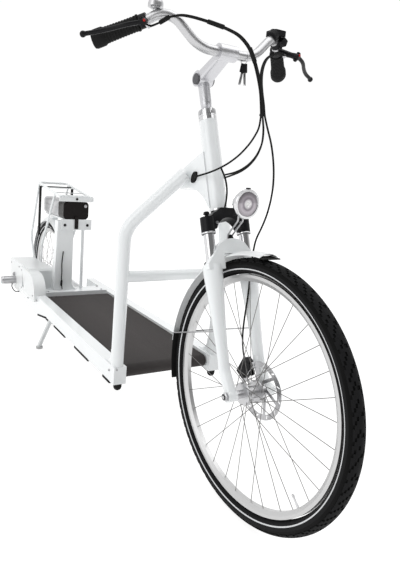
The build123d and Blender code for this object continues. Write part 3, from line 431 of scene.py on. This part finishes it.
def brushed(name, color, rough=0.28, scale=(20.0, 1400.0, 20.0), depth=0.00006):
    """Satin metal with fine drawn lines along one axis."""
    paint = Paint(name)
    stretched = paint.node("ShaderNodeMapping", {}, paint.place(), Scale=scale)
    lines = paint.noise(1.0, 4.0, 0.6, vector=stretched)
    tone = paint.blend(lines, tuple(value * 0.92 for value in color), color)
    paint.set(Base_Color=tone, Metallic=1.0, Roughness=rough + lines * 0.14,
              Normal=paint.bump(lines, depth, 0.4))
    return paint.material


def chrome():
    """Bright plated steel, faintly smeared."""
    paint = Paint("chrome_plate")
    smear = paint.noise(24.0, 5.0, 0.6)
    paint.set(Base_Color=paint.blend(smear, (0.62, 0.62, 0.63), (0.74, 0.74, 0.75)), Metallic=1.0,
              Roughness=0.06 + smear * 0.1)
    return paint.material


def black_metal():
    """Satin black paint over cast metal, worn to grey in specks."""
    paint = Paint("black_metal")
    specks = paint.noise(140.0, 6.0, 0.7)
    tone = paint.blend((specks > 0.68) * 0.5, (0.007, 0.007, 0.008), (0.05, 0.05, 0.05))
    paint.set(Base_Color=tone, Roughness=0.34 + specks * 0.15, Coat_Weight=0.08,
              Specular_IOR_Level=BLACK_SHEEN, Normal=paint.bump(paint.noise(700.0), 0.0001, 0.4))
    return paint.material


def belt_rubber():
    """The belt's fine diamond weave, scuffed along its middle."""
    paint = Paint("belt_rubber")
    x, y = paint.axes()[:2]
    cell = 0.0042
    weave = ((((x + y) / cell) % 1.0) - 0.5).size() + ((((x - y) / cell) % 1.0) - 0.5).size()
    scuffs = paint.noise(7.0, 8.0, 0.7)
    stretched = paint.node("ShaderNodeMapping", {}, paint.place(), Scale=(6.0, 60.0, 6.0))
    long_scuffs = paint.noise(1.0, 5.0, vector=stretched)
    worn = (1.0 - (y.size() / 0.16)).clip() * long_scuffs
    tone = paint.blend(scuffs, (0.034, 0.031, 0.031), (0.060, 0.054, 0.053))
    tone = paint.blend(worn * 0.35, tone, (0.095, 0.088, 0.084))
    paint.set(Base_Color=tone, Roughness=0.62 + scuffs * 0.2, Normal=paint.bump(weave, 0.0005, 0.55),
              Specular_IOR_Level=BLACK_SHEEN)
    return paint.material


def board_wood():
    """The sealed board that the belt slides on."""
    paint = Paint("belt_board")
    stretched = paint.node("ShaderNodeMapping", {}, paint.place(), Scale=(6.0, 180.0, 60.0))
    grain = paint.noise(1.0, 6.0, vector=stretched)
    paint.set(Base_Color=paint.ramp(grain, (0.3, (0.05, 0.034, 0.022)), (0.7, (0.12, 0.085, 0.055))),
              Roughness=0.5 + grain * 0.2, Normal=paint.bump(grain, 0.0002, 0.4))
    return paint.material


def lamp_glass_painted_reflection():
    """The lamp's face: rings of facets, coloured with painted reflections in silver and mauve, light and
    dark, round a bright bulb's painted highlight.
    """
    paint = Paint("lamp_glass_painted_reflection")
    across = paint.node("ShaderNodeMapping", {}, paint.place(), Location=tuple(-LAMP_MIDDLE))
    y, z = paint.axes(across)[1:]
    radius = (y * y + z * z) ** 0.5
    rings = ((radius / 0.0042) % 1.0 - 0.5).size()
    # Painted reflection: the colour runs through light and dark rings by distance from the middle, with a
    # painted highlight at the bulb
    tone = paint.ramp(radius / 0.034, (0.0, (0.95, 0.95, 0.93)), (0.26, (0.86, 0.84, 0.86)),
                      (0.42, (0.22, 0.19, 0.22)), (0.62, (0.48, 0.44, 0.48)), (0.9, (0.26, 0.24, 0.26)))
    paint.set(Base_Color=paint.blend(rings * 0.5, tone, (0.30, 0.27, 0.30)), Metallic=0.55,
              Roughness=0.14 + rings * 0.1, Coat_Weight=1.0, Normal=paint.bump(rings, 0.0008, 0.6))
    return paint.material


def tyre_tread(name, axle, radius, depth, width):
    """Tyre rubber with a bright reflective line round each wall."""
    paint = Paint(name)
    centred = paint.node("ShaderNodeMapping", {}, paint.place(), Location=tuple(-axle))
    x, y, z = paint.axes(centred)
    reach = (x * x + z * z) ** 0.5
    line = ((reach - (radius - WALL_LINE_INSET)).size() < WALL_LINE_HALF) * (y.size() > WALL_LINE_SIDE)
    dust = paint.noise(18.0, 6.0, 0.65)
    rubbery = paint.blend(dust, (0.004, 0.004, 0.005), (0.011, 0.011, 0.011))
    flat = y * (depth / width)
    swell = ((reach - (radius - depth / 2)) ** 2.0 + flat * flat) ** 0.5
    crown = (reach > (radius - depth * 0.42)) * (swell < (depth / 2 - 0.0008))
    worn = paint.blend(crown, rubbery, (0.0015, 0.0015, 0.0015))
    paint.set(Base_Color=paint.blend(line, worn, (0.62, 0.63, 0.64)),
              Roughness=0.58 + dust * 0.2 - line * 0.25, Specular_IOR_Level=BLACK_SHEEN,
              Normal=paint.bump(paint.noise(900.0, 2.0), 0.0002, 0.4))
    return paint.material


def bright_red():
    """Red anodised trim."""
    paint = Paint("red_trim")
    tone = paint.blend(paint.noise(120.0), (0.42, 0.012, 0.012), (0.55, 0.02, 0.018))
    paint.set(Base_Color=tone, Metallic=0.6, Roughness=0.25 + paint.noise(300.0) * 0.1)
    return paint.material


def display_glass():
    """The display's dark glass."""
    paint = Paint("display_glass")
    smear = paint.noise(40.0, 3.0)
    paint.set(Base_Color=paint.blend(smear, (0.012, 0.014, 0.016), (0.028, 0.032, 0.036)),
              Roughness=0.08 + smear * 0.1, Coat_Weight=1.0)
    return paint.material


def battery_face():
    """The battery's glossy black-brown front."""
    paint = Paint("battery_face")
    swirl = paint.noise(50.0, 5.0)
    paint.set(Base_Color=paint.blend(swirl, (0.008, 0.006, 0.006), (0.014, 0.011, 0.011)),
              Roughness=0.2 + swirl * 0.12, Specular_IOR_Level=BLACK_SHEEN)
    return paint.material


FINISHES = {
    "frame_paint": enamel(),
    "guard_plastic": moulding(),
    "case_plastic": moulding("case_moulding", 0.97, 0.36),
    "black_plastic": black_plastic(),
    "grey_plastic": black_plastic("grey_plastic", (0.09, 0.09, 0.095)),
    "light_rubber": rubber("light_rubber", (0.30, 0.30, 0.30), 0.6),
    "battery_face": battery_face(),
    "black_rubber": rubber(),
    "tyre_rubber": rubber("tyre_rubber", (0.016, 0.016, 0.016), 0.66),
    "belt_rubber": belt_rubber(),
    "satin_aluminium": brushed("satin_aluminium", (0.60, 0.60, 0.61), 0.30, (60.0, 60.0, 60.0), 0.00003),
    "rim_aluminium": brushed("rim_aluminium", (0.60, 0.60, 0.60), 0.33, (30.0, 900.0, 30.0), 0.00004),
    "chrome": chrome(),
    "steel": brushed("bright_steel", (0.50, 0.50, 0.51), 0.24, (300.0, 300.0, 300.0), 0.00003),
    "black_metal": black_metal(),
    "board_wood": board_wood(),
    "lens": lamp_glass_painted_reflection(),
}
SPOKE_STEEL = brushed("spoke_steel", (0.20, 0.195, 0.19), 0.30, (200.0, 200.0, 200.0), 0.00002)
OWN_FINISHES = {
    "front_spokes": SPOKE_STEEL,
    "rear_spokes": SPOKE_STEEL,
    "bell": FINISHES["satin_aluminium"],
    "stem": brushed("stem_silver", (0.66, 0.66, 0.68), 0.32, (90.0, 90.0, 90.0), 0.00003),
}
RED = bright_red()
SCREEN = display_glass()
TYRES = {
    "front": tyre_tread("front_tyre_rubber", FRONT_AXLE, *FRONT_TYRE),
    "rear": tyre_tread("rear_tyre_rubber", REAR_AXLE, *REAR_TYRE),
}


def dress_nodes():
    """Give each piece of the part the finish of its slot, or its own variety of it."""
    for entry in frame["record"]["subparts"]:
        mesh = frame["nodes"][entry["node"]].data
        mesh.materials.clear()
        mesh.materials.append(OWN_FINISHES.get(entry["node"]) or FINISHES[entry["material_slot"]])


def build_tyre(which, axle, radius, depth, width, body):
    """A round tyre with raised tread blocks that slant to both shoulders."""
    thick = depth / 2
    bpy.ops.object.select_all(action="DESELECT")
    bpy.ops.mesh.primitive_torus_add(
        major_segments=TREAD_AROUND, minor_segments=TREAD_OVER, rotation=(math.pi / 2, 0, 0),
        major_radius=radius - thick, minor_radius=thick - TREAD_DEPTH)
    tyre = bpy.context.object
    tyre.scale = (1, 1, width / depth)
    alone(tyre)
    bpy.ops.object.transform_apply(location=True, rotation=True, scale=True)

    def tread(middle, normal):
        turn = int(math.atan2(middle.z, middle.x) / math.tau * TREAD_AROUND + POSITIVE)
        reach = math.hypot(middle.x, middle.z) - (radius - thick)
        side = math.degrees(math.atan2(middle.y, reach))
        lane = int(abs(side) / (360 / TREAD_OVER))
        if reach < 0 or lane > TREAD_LANES:
            return False
        if lane == 0:
            return turn % 6 != 0
        return (turn + lane + (2 if side < 0 else 0)) % 4 > 0
    pick(tyre, tread)
    bpy.ops.mesh.extrude_region_shrink_fatten(TRANSFORM_OT_shrink_fatten={"value": TREAD_DEPTH})
    leave()
    tyre = settle(tyre, which + "_tread_tyre", "tyre_rubber", body, Matrix.Translation(axle), 30,
                  TYRES[which])
    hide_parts(which + "_tyre")
    valve = turned([(3.2, 0), (3.2, 10), (2.6, 11), (2.6, 24), (3.4, 25), (3.4, 31), (1.6, 33)], 16)
    turn, inset = 2.3, 0.018
    foot = axle + Vector((math.sin(turn), 0, math.cos(turn))) * (radius - depth - inset)
    settle(valve, which + "_valve", "satin_aluminium", body, aim(foot, axle - foot))


def build_fork_trim():
    """Dust seals, crown bolts, axle nuts, disc bolts, the hub's cap and the caliper's outer parts."""
    seal = turned([(20, 0), (21.5, 1.5), (21.5, 6), (18.5, 9), (16, 10)])
    seal = settle(seal, "left_dust_seal", "black_rubber", "steering", on_leg(1, 352))
    again(seal, "right_dust_seal", MIRROR)
    collar = turned([(19.9, 0), (20.4, 1), (20.4, 3.4), (19.9, 4.2)])
    collar = settle(collar, "left_boot_ring", "chrome", "steering", on_leg(1, 437.5))
    again(collar, "right_boot_ring", MIRROR)
    for side, word in ((1, "left"), (-1, "right")):
        hex_nut(word + "_front_nut", steered(42, 76 * side, 0), (0, side, 0), 10.5, 9, "steering")
        bolt(word + "_crown_bolt", steered(41.5, 40 * side, 466), STEER_AHEAD, 4.5, "steering")
        cap = turned([(9, 0), (9, 1.5), (7.5, 3), (7.5, 6), (6, 7.5)], 24)
        fluted(cap, 24, 0.5, 3, 6)
        settle(cap, word + "_adjuster", "black_metal", "steering", on_leg(side, 492.5))
    for index in range(6):
        turn = math.tau * index / 6
        place = FRONT_AXLE + Vector((0.0195 * math.cos(turn), 0.040, 0.0195 * math.sin(turn)))
        bolt(f"disc_bolt_{index + 1}", place, (0, 1, 0), 3.4, "front_wheel", "black_metal")
    ring = turned([(30.5, 0), (30.5, 1.2), (24, 3.0), (18, 3.2)])
    settle(ring, "hub_cap_right", "satin_aluminium", "front_wheel",
           aim(FRONT_AXLE + Vector((0, -0.0238, 0)), (0, -1, 0)))
    low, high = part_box("brake_caliper")
    heart = (low + high) / 2
    for index, (ahead, up) in enumerate(((-0.012, 0.012), (0.010, -0.010))):
        horn = turned([(11, 0), (11.5, 2), (11.5, 5), (9, 8), (5.5, 9), (5, 7.5)], 28)
        settle(horn, f"caliper_horn_{index + 1}", "black_metal", "steering",
               aim(Vector((heart.x + ahead, high.y - 0.003, heart.z + up)), (0, 1, 0)))
    fitting = turned([(4.5, 0), (4.5, 5), (6, 5.5), (6, 12), (4.2, 13), (4.2, 22)], 20)
    settle(fitting, "hose_fitting", "satin_aluminium", "steering",
           aim(steered(-16, 41.5, 72), steered(-12, 38, 110) - steered(-16, 41.5, 72)))
    sleeve = turned([(3.4, 0), (4.2, 1), (4.2, 17), (3.4, 18)], 18)
    settle(sleeve, "hose_clip", "satin_aluminium", "steering",
           aim(steered(57, 38, 314), steered(63, 43, 347) - steered(57, 38, 314)))


def build_lamp_trim():
    """The lamp's stepped reflector, its bezel, tab, rear clip and bracket bolt."""
    glass = turned([(33, 0), (32, 2.4), (26, 3.8), (18, 4.6), (10, 4.9), (7.5, 4.6), (6.5, 3.6),
                    (0.2, 3.4)], 56)
    glass = settle(glass, "lamp_glass_painted_reflection", "lens", "steering",
                   aim(LAMP_MIDDLE - Vector((0.002, 0, 0)), (1, 0, 0)), 20)
    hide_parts("headlamp_lens")
    hoop = turned([(38.4, 0), (39.2, 1), (39.2, 6), (38, 8), (33.5, 8.2), (33, 6.5)], 56)
    settle(hoop, "lamp_bezel", "chrome", "steering", aim(LAMP_MIDDLE - Vector((0.0065, 0, 0)), (1, 0, 0)))
    tab = block((7, 12, 5), 1.2)
    settle(tab, "lamp_tab", "black_plastic", "steering",
           Matrix.Translation(LAMP_MIDDLE + Vector((-0.004, 0, 0.0395))))
    clip = block((16, 24, 18), 2.5, taper=0.8)
    settle(clip, "lamp_clip", "black_plastic", "steering",
           Matrix.Translation(LAMP_MIDDLE + Vector((-0.034, 0, -0.024))))
    pad = turned([(9, 0), (9.5, 1), (9.5, 4), (7, 6), (7, 11), (5, 12)], 24)
    settle(pad, "lamp_bolt", "black_metal", "steering", STEER @ Matrix.Translation((0.038, 0, 0.4205)))


def build_stem_trim():
    """The fluted collar and the pivot's caps."""
    collar = turned([(24.5, 0), (26, 1.2), (26, 4.5), (25.2, 5), (25.4, 6), (24.8, 21), (20.5, 25),
                     (18, 26.5)], 48)
    fluted(collar, 48, -1.6, 6, 20)
    settle(collar, "stem_collar", "chrome", "steering", STEER @ Matrix.Translation((0, 0, 0.7845)), 28)
    for side, word in ((1, "left"), (-1, "right")):
        plug = turned([(15.2, 0), (15.2, 6.2), (14, 7.2), (8, 7.6)], 40)
        settle(plug, word + "_pivot_cap", "black_plastic", "steering",
               aim(steered(2, 22 * side, 899), (0, side, 0)), finish=FINISHES["grey_plastic"])


def build_controls():
    """Ribbed grips, brake levers on their perches, cable barrels, switch, display and the bell's base."""
    inner, outer = at(319, 212, 1297), at(420, 320, 1247)
    along = (outer - inner).normalized()
    start = outer - along * 0.128
    steps = [(16, 0), (20.5, 0.8), (20.8, 5), (19, 6.5)]
    for rib in range(11):
        low = 8 + rib * 8.0
        base = 18.2 + 1.6 * (rib / 10) ** 2
        steps += [(base, low), (base + 1.2, low + 1.0), (base + 1.2, low + 4.6), (base, low + 5.6)]
    steps += [(21.5, 98), (23.8, 102), (24.2, 112), (24.2, 126), (22.5, 130.5), (14, 132)]
    grip = settle(turned(steps, 44), "left_grip", "black_rubber", "steering", aim(start, along), 40)
    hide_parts("grips")
    again(grip, "right_grip", MIRROR)

    ring = start - along * 0.0223
    root = ring + along * 0.011
    pivot, tip = at(272, 255, 1272), at(339, 383, 1235)
    clamp = turned([(13.5, 0), (17, 0.6), (18, 2), (18, 20), (17, 21.4), (13.5, 22)], 36)
    clamp = settle(clamp, "left_lever_clamp", "black_metal", "steering", aim(ring, along))
    again(clamp, "right_lever_clamp", MIRROR)
    reach = (pivot - root).length * 1000
    perch = turned([(13, 8), (14, 12), (12.5, reach * 0.45), (10.5, reach * 0.75), (12, reach * 0.9),
                    (12, reach + 5), (8, reach + 9)], 20)
    perch = settle(perch, "left_lever_perch", "black_metal", "steering",
                   aim(root, pivot - root) @ Matrix.Scale(0.72, 4, (0, 1, 0)))
    again(perch, "right_lever_perch", MIRROR)
    swing = tip - pivot
    ahead = Vector((1, 0, 0.1))
    shares = ((-0.05, 0), (0.10, 0.006), (0.30, 0.009), (0.52, -0.002), (0.75, -0.006), (0.92, 0), (1, 0))
    blade = bent([pivot + swing * share + ahead * bulge for share, bulge in shares], 5.6)
    blade = settle(blade, "left_lever_blade", "black_metal", "steering")
    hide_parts("brake_levers")
    again(blade, "right_lever_blade", MIRROR)
    ball = turned([(3.5, -8), (6.2, -6), (7.8, -2), (7.8, 2), (6.2, 5.5), (3, 7.6)], 24)
    ball = settle(ball, "left_lever_ball", "black_metal", "steering", aim(tip, swing), 60)
    again(ball, "right_lever_ball", MIRROR)
    pin = turned([(6, -12), (6, 12), (4.5, 13.5), (3, 13.5), (2.8, 12)], 20)
    pin = settle(pin, "left_lever_pin", "black_metal", "steering", aim(pivot, along.cross(pivot - root)))
    again(pin, "right_lever_pin", MIRROR)
    dot = turned([(3.2, 0), (3.2, 2.2), (2.4, 3)], 16)
    dot = settle(dot, "left_lever_dot", "black_metal", "steering",
                 aim(pivot + Vector((0.010, 0, 0.002)), (1, 0, 0.2)), finish=RED)
    again(dot, "right_lever_dot", MIRROR)
    enter, leads = at(301, 240, 1282), at(288, 219, 1267)
    barrel = turned([(4.2, -4), (4.2, 3), (5.6, 3.5), (5.6, 10), (4, 11), (4, 15), (5.2, 15.5), (5.2, 22),
                     (3.2, 24)], 24)
    fluted(barrel, 24, 0.5, 4, 10)
    barrel = settle(barrel, "left_barrel", "satin_aluminium", "steering", aim(enter, leads - enter))
    again(barrel, "right_barrel", MIRROR)

    knuckle = turned([(12, 0), (15.5, 1), (15.5, 25), (12, 26)], 32)
    settle(knuckle, "left_switch_ring", "black_plastic", "steering",
           aim(at(299, 192, 1312), at(319, 212, 1297) - at(299, 192, 1312)))
    switch = block((24, 22, 20), 4.0, taper=0.8)
    settle(switch, "left_switch", "black_plastic", "steering",
           Matrix.Translation(at(286, 208, 1306)) @ Matrix.Rotation(math.radians(-30), 4, "X"))

    screen = block((36, 36, 2.4), 0.8)
    settle(screen, "display_screen", "black_plastic", "steering", Matrix.Translation(top("display")),
           finish=SCREEN)
    strap = turned([(15.5, -9), (16.5, -8), (16.5, 8), (15.5, 9)], 32)
    settle(strap, "display_strap", "black_plastic", "steering",
           aim(at(284, 166, 1315), at(287, 177, 1322) - at(268, 88, 1241)))
    crown = top("bell")
    base = turned([(9, 0), (12.5, 1), (12.5, 5), (9, 6.5)], 32)
    settle(base, "bell_base", "satin_aluminium", "steering", Matrix.Translation(crown - UP * 0.0295))
    hammer = bent([crown + Vector((-0.012, 0, -0.022)), crown + Vector((-0.024, 0.002, -0.024)),
                   crown + Vector((-0.028, 0.004, -0.016))], 2.2)
    settle(hammer, "bell_hammer", "steel", "steering")


def build_keys():
    """Two keys with a black bow that hang on a ring round the bar."""
    hook = at(268, 64, 1222)
    bpy.ops.object.select_all(action="DESELECT")
    bpy.ops.mesh.primitive_torus_add(
        major_radius=0.016, minor_radius=0.0011, major_segments=40, minor_segments=10)
    ring = bpy.context.object
    settle(ring, "key_ring", "steel", "steering",
           Matrix.Translation(hook + UP * 0.016) @ Matrix.Rotation(math.radians(90), 4, "X"))
    for index, lean in enumerate((-9, 8)):
        place = hook + Vector((0.003 * index, 0, 0))
        hang = Matrix.Translation(place) @ Matrix.Rotation(math.radians(lean), 4, "X")
        bow = block((4.5, 18, 24), 2.0, place=(0, 0, -10))
        settle(bow, f"key_bow_{index + 1}", "black_plastic", "steering", hang)
        blade = block((1.8, 8, 34), 0.5, place=(0, 0, -38))
        pick(blade, lambda middle, normal: normal.y > 0.9)
        bpy.ops.mesh.subdivide(number_cuts=6)
        leave()
        pick(blade, lambda middle, normal: normal.y > 0.9 and int(middle.z * 1000 / 3.6) % 2 == 0)
        bpy.ops.transform.translate(value=(0, -0.0014, 0))
        leave()
        settle(blade, f"key_blade_{index + 1}", "chrome", "steering", hang)


def build_sleeves():
    """Black sleeves and ties where the cables run together."""
    ties = (
        ((276, -205, 1280), (264, -183, 1296)), ((245, -83, 1300), (222, -44, 1288)),
        ((181, 12, 1243), (174, 29, 1209)), ((285, 193, 1273), (274, 162, 1263)),
    )
    for index, (first, last) in enumerate(ties):
        start, end = at(*first), at(*last)
        length = (end - start).length * 1000
        sleeve = turned([(3, 0), (5.4, 1.2), (5.6, length - 1.2), (3, length)], 20)
        settle(sleeve, f"cable_sleeve_{index + 1}", "black_rubber", "steering",
               aim(start, end - start) @ Matrix.Scale(1.35, 4, (1, 0, 0)))
    tie = turned([(7, 0), (8.2, 0.5), (8.2, 5.5), (7, 6)], 24)
    settle(tie, "cable_tie", "black_plastic", "steering", aim(at(145, 50, 1078), (0, 0, 1)))


def build_deck_trim():
    """Rail screws, the rubber strips under the rails and the ledge's bolts."""
    for side, word in ((1, "left"), (-1, "right")):
        for index, (back, high) in enumerate(((455, 270), (1344, 270), (1600, 262))):
            bolt(f"{word}_rail_screw_{index + 1}", at(back, 209 * side, high), (0, side, 0), 4.2, "frame")
        bolt(f"{word}_front_screw", at(416, 200 * side, 284), (1, 0, 0), 3.5, "frame")
        for index, (back, high, lean) in enumerate(((479, 228.5, 0), (724, 228.5, 0), (992, 228.5, 0),
                                                    (1254, 216.5, 10.5))):
            pad = block((60 if index == 0 else 150, 26, 9), 2.2)
            settle(pad, f"{word}_pad_{index + 1}", "black_rubber", "frame",
                   Matrix.Translation(at(back, 198 * side, high))
                   @ Matrix.Rotation(math.radians(-lean), 4, "Y"))
        for index, back in enumerate((1384, 1446)):
            bolt(f"{word}_ledge_bolt_{index + 1}", at(back, 140 * side, 298), (0, 0, 1), 5.0, "frame")


def build_rear_trim():
    """Lip bumpers, battery lock and ribs, axle nuts, two leads, case bolts, knurled peg and rack straps."""
    for index, left in enumerate((-58, 58)):
        bumper = turned([(7, 0), (7, 1.5), (5.5, 4), (5, 6.5), (3, 7.2)], 24)
        settle(bumper, f"lip_bumper_{index + 1}", "black_rubber", "frame",
               aim(at(1408, left, 626), (1, 0, 0)))
    lock = turned([(7.5, 0), (8, 0.8), (8, 2.4), (6.5, 3), (5.5, 3), (5.2, 2.2)], 28)
    settle(lock, "battery_lock", "steel", "frame", aim(at(1412, 46, 720), (1, 0, 0)))
    button = turned([(6, 0), (6, 2.5), (4.5, 3.6)], 24)
    settle(button, "rack_button", "black_rubber", "frame", aim(at(1410, 0, 753), (1, 0, 0)))
    for side, word in ((1, "left"), (-1, "right")):
        rib = block((246, 3, 6), 1.2)
        settle(rib, word + "_battery_rib", "satin_aluminium", "frame",
               Matrix.Translation(at(1623, 65.5 * side, 700)))
        hex_nut(word + "_rear_nut", REAR_AXLE + Vector((0, 0.076 if side > 0 else -0.209, 0)), (0, side, 0),
                10.5, 9, "frame")
        for index, back in enumerate((1440, 1690)):
            bolt(f"{word}_cradle_bolt_{index + 1}", at(back, 56.5 * side, 650), (0, side, 0), 3.5, "frame")
    wire = bent([at(1409, -62, 496), at(1406, -66, 470), at(1405, -70, 430), at(1406, -67, 390),
                 at(1405, -71, 350), at(1400, -66, 304)], 2.6)
    settle(wire, "post_cable", "black_rubber", "frame")
    plug = turned([(4, 0), (5.4, 1), (5.4, 24), (4, 26), (3, 30)], 20)
    settle(plug, "post_cable_plug", "black_plastic", "frame", aim(at(1404, -70, 322), (0, 0.05, 1)))
    loop = bent([at(1790, -209, 262), at(1796, -222, 250), at(1800, -228, 236), at(1780, -226, 222),
                 at(1750, -220, 212), at(1716, -212, 222), at(1690, -206, 224)], 2.6)
    settle(loop, "drive_lead", "black_rubber", "frame")
    for index, (back, high) in enumerate(((1508, 372), (1508, 240), (1880, 352), (1880, 240), (1700, 362))):
        bolt(f"case_bolt_{index + 1}", at(back, CASE_SIDE, high), (0, -1, 0), 4.5, "frame")
    for index, (back, high) in enumerate(((1372, 286), (1590, 276), (1590, 368))):
        bolt(f"cover_bolt_{index + 1}", at(back, COVER_SIDE, high), (0, -1, 0), 4.0, "frame")
    peg = turned([(19.5, 0), (20.5, 2), (20.5, 8), (19.5, 9), (20.4, 10), (20.4, 62), (19.5, 63), (20.6, 65),
                  (20.6, 74), (18.5, 77.5)], 64)
    fluted(peg, 64, 0.6, 10, 62)
    peg = settle(peg, "knurled_peg", "steel", "frame",
                 aim(REAR_AXLE + Vector((0.020, -0.209, -0.028)), (0, -1, 0)), 25)
    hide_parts("rear_peg")
    strap = block((26, 172, 7), 2.0)
    settle(strap, "rack_strap_top", "black_rubber", "frame", Matrix.Translation(at(1745, 0, 789)))
    for side, word in ((1, "left"), (-1, "right")):
        tail = block((26, 8, 262), 2.0)
        settle(tail, word + "_strap_tail", "black_rubber", "frame",
               Matrix.Translation(at(1751, 88.5 * side, 660)) @ Matrix.Rotation(math.radians(4), 4, "Y"))
        buckle = block((34, 8, 20), 2.5)
        settle(buckle, word + "_strap_buckle", "black_plastic", "frame",
               Matrix.Translation(at(1757, 90 * side, 562)) @ Matrix.Rotation(math.radians(4), 4, "Y"))


def build_stage():
    """A white floor, a room that is bright behind the vehicle, two soft suns and the photograph's camera."""
    bpy.ops.object.select_all(action="DESELECT")
    bpy.ops.mesh.primitive_plane_add(size=60, location=(0, 0, 0))
    floor = bpy.context.object
    floor.name = "floor"
    paint = Paint("pale_floor")
    tone = paint.blend(paint.noise(0.8), (0.29, 0.29, 0.29), (0.31, 0.31, 0.31))
    paint.set(Base_Color=tone, Roughness=0.7, Specular_IOR_Level=0.0, Emission_Color=(1, 1, 1, 1),
              Emission_Strength=0.86)
    floor.data.materials.append(paint.material)

    world = bpy.context.scene.world or bpy.data.worlds.new("studio")
    bpy.context.scene.world = world
    world.use_nodes = True
    # The room is bright behind the vehicle and over it, and dimmer towards the viewer
    tree = world.node_tree
    direction = tree.nodes.new("ShaderNodeSeparateXYZ")
    tree.links.new(tree.nodes.new("ShaderNodeTexCoord").outputs["Generated"], direction.inputs[0])
    fall = tree.nodes.new("ShaderNodeMapRange")
    fall.interpolation_type = "SMOOTHSTEP"
    for place, value in ((1, -0.1), (2, 0.75), (3, 1.02), (4, 0.22)):
        fall.inputs[place].default_value = value
    tree.links.new(direction.outputs[0], fall.inputs[0])
    tree.nodes["Background"].inputs[0].default_value = (1, 1, 1, 1)
    tree.links.new(fall.outputs[0], tree.nodes["Background"].inputs[1])
    bpy.context.scene.view_settings.view_transform = "Standard"
    for name, place, strength, spread in (
        ("key_light", (0.9, 1.3, 3.6), 1.0, 60),
        ("side_light", (0.6, -3.0, 1.6), 0.55, 40),
    ):
        light = bpy.data.lights.new(name, "SUN")
        light.energy = strength
        light.angle = math.radians(spread)
        lamp = bpy.data.objects.new(name, light)
        lamp.location = place
        lamp.rotation_euler = (-Vector(place)).to_track_quat("-Z", "Y").to_euler()
        bpy.context.scene.collection.objects.link(lamp)

    camera = bpy.data.cameras.new("camera")
    camera.sensor_width = 36
    camera.lens = VIEW_FOCUS * camera.sensor_width / max(PICTURE)
    camera.shift_x = (PICTURE[0] / 2 - VIEW_MIDDLE[0]) / max(PICTURE)
    camera.shift_y = (VIEW_MIDDLE[1] - PICTURE[1] / 2) / max(PICTURE)
    look = Vector((-math.cos(VIEW_YAW) * math.cos(VIEW_PITCH), math.sin(VIEW_YAW) * math.cos(VIEW_PITCH),
                   -math.sin(VIEW_PITCH)))
    right = look.cross(UP).normalized()
    rise = right.cross(look)
    across = right * math.cos(VIEW_ROLL) + rise * math.sin(VIEW_ROLL)
    over = rise * math.cos(VIEW_ROLL) - right * math.sin(VIEW_ROLL)
    eye = bpy.data.objects.new("camera", camera)
    eye.matrix_world = Matrix.Translation(VIEW_PLACE) @ Matrix((across, over, -look)).transposed().to_4x4()
    bpy.context.scene.collection.objects.link(eye)
    bpy.context.scene.camera = eye


dress_nodes()
build_stage()
build_tyre("front", FRONT_AXLE, *FRONT_TYRE, "front_wheel")
build_tyre("rear", REAR_AXLE, *REAR_TYRE, "rear_wheel")
build_fork_trim()
build_lamp_trim()
build_stem_trim()
build_controls()
build_keys()
build_sleeves()
build_deck_trim()
build_rear_trim()
bpy.context.view_layer.update()
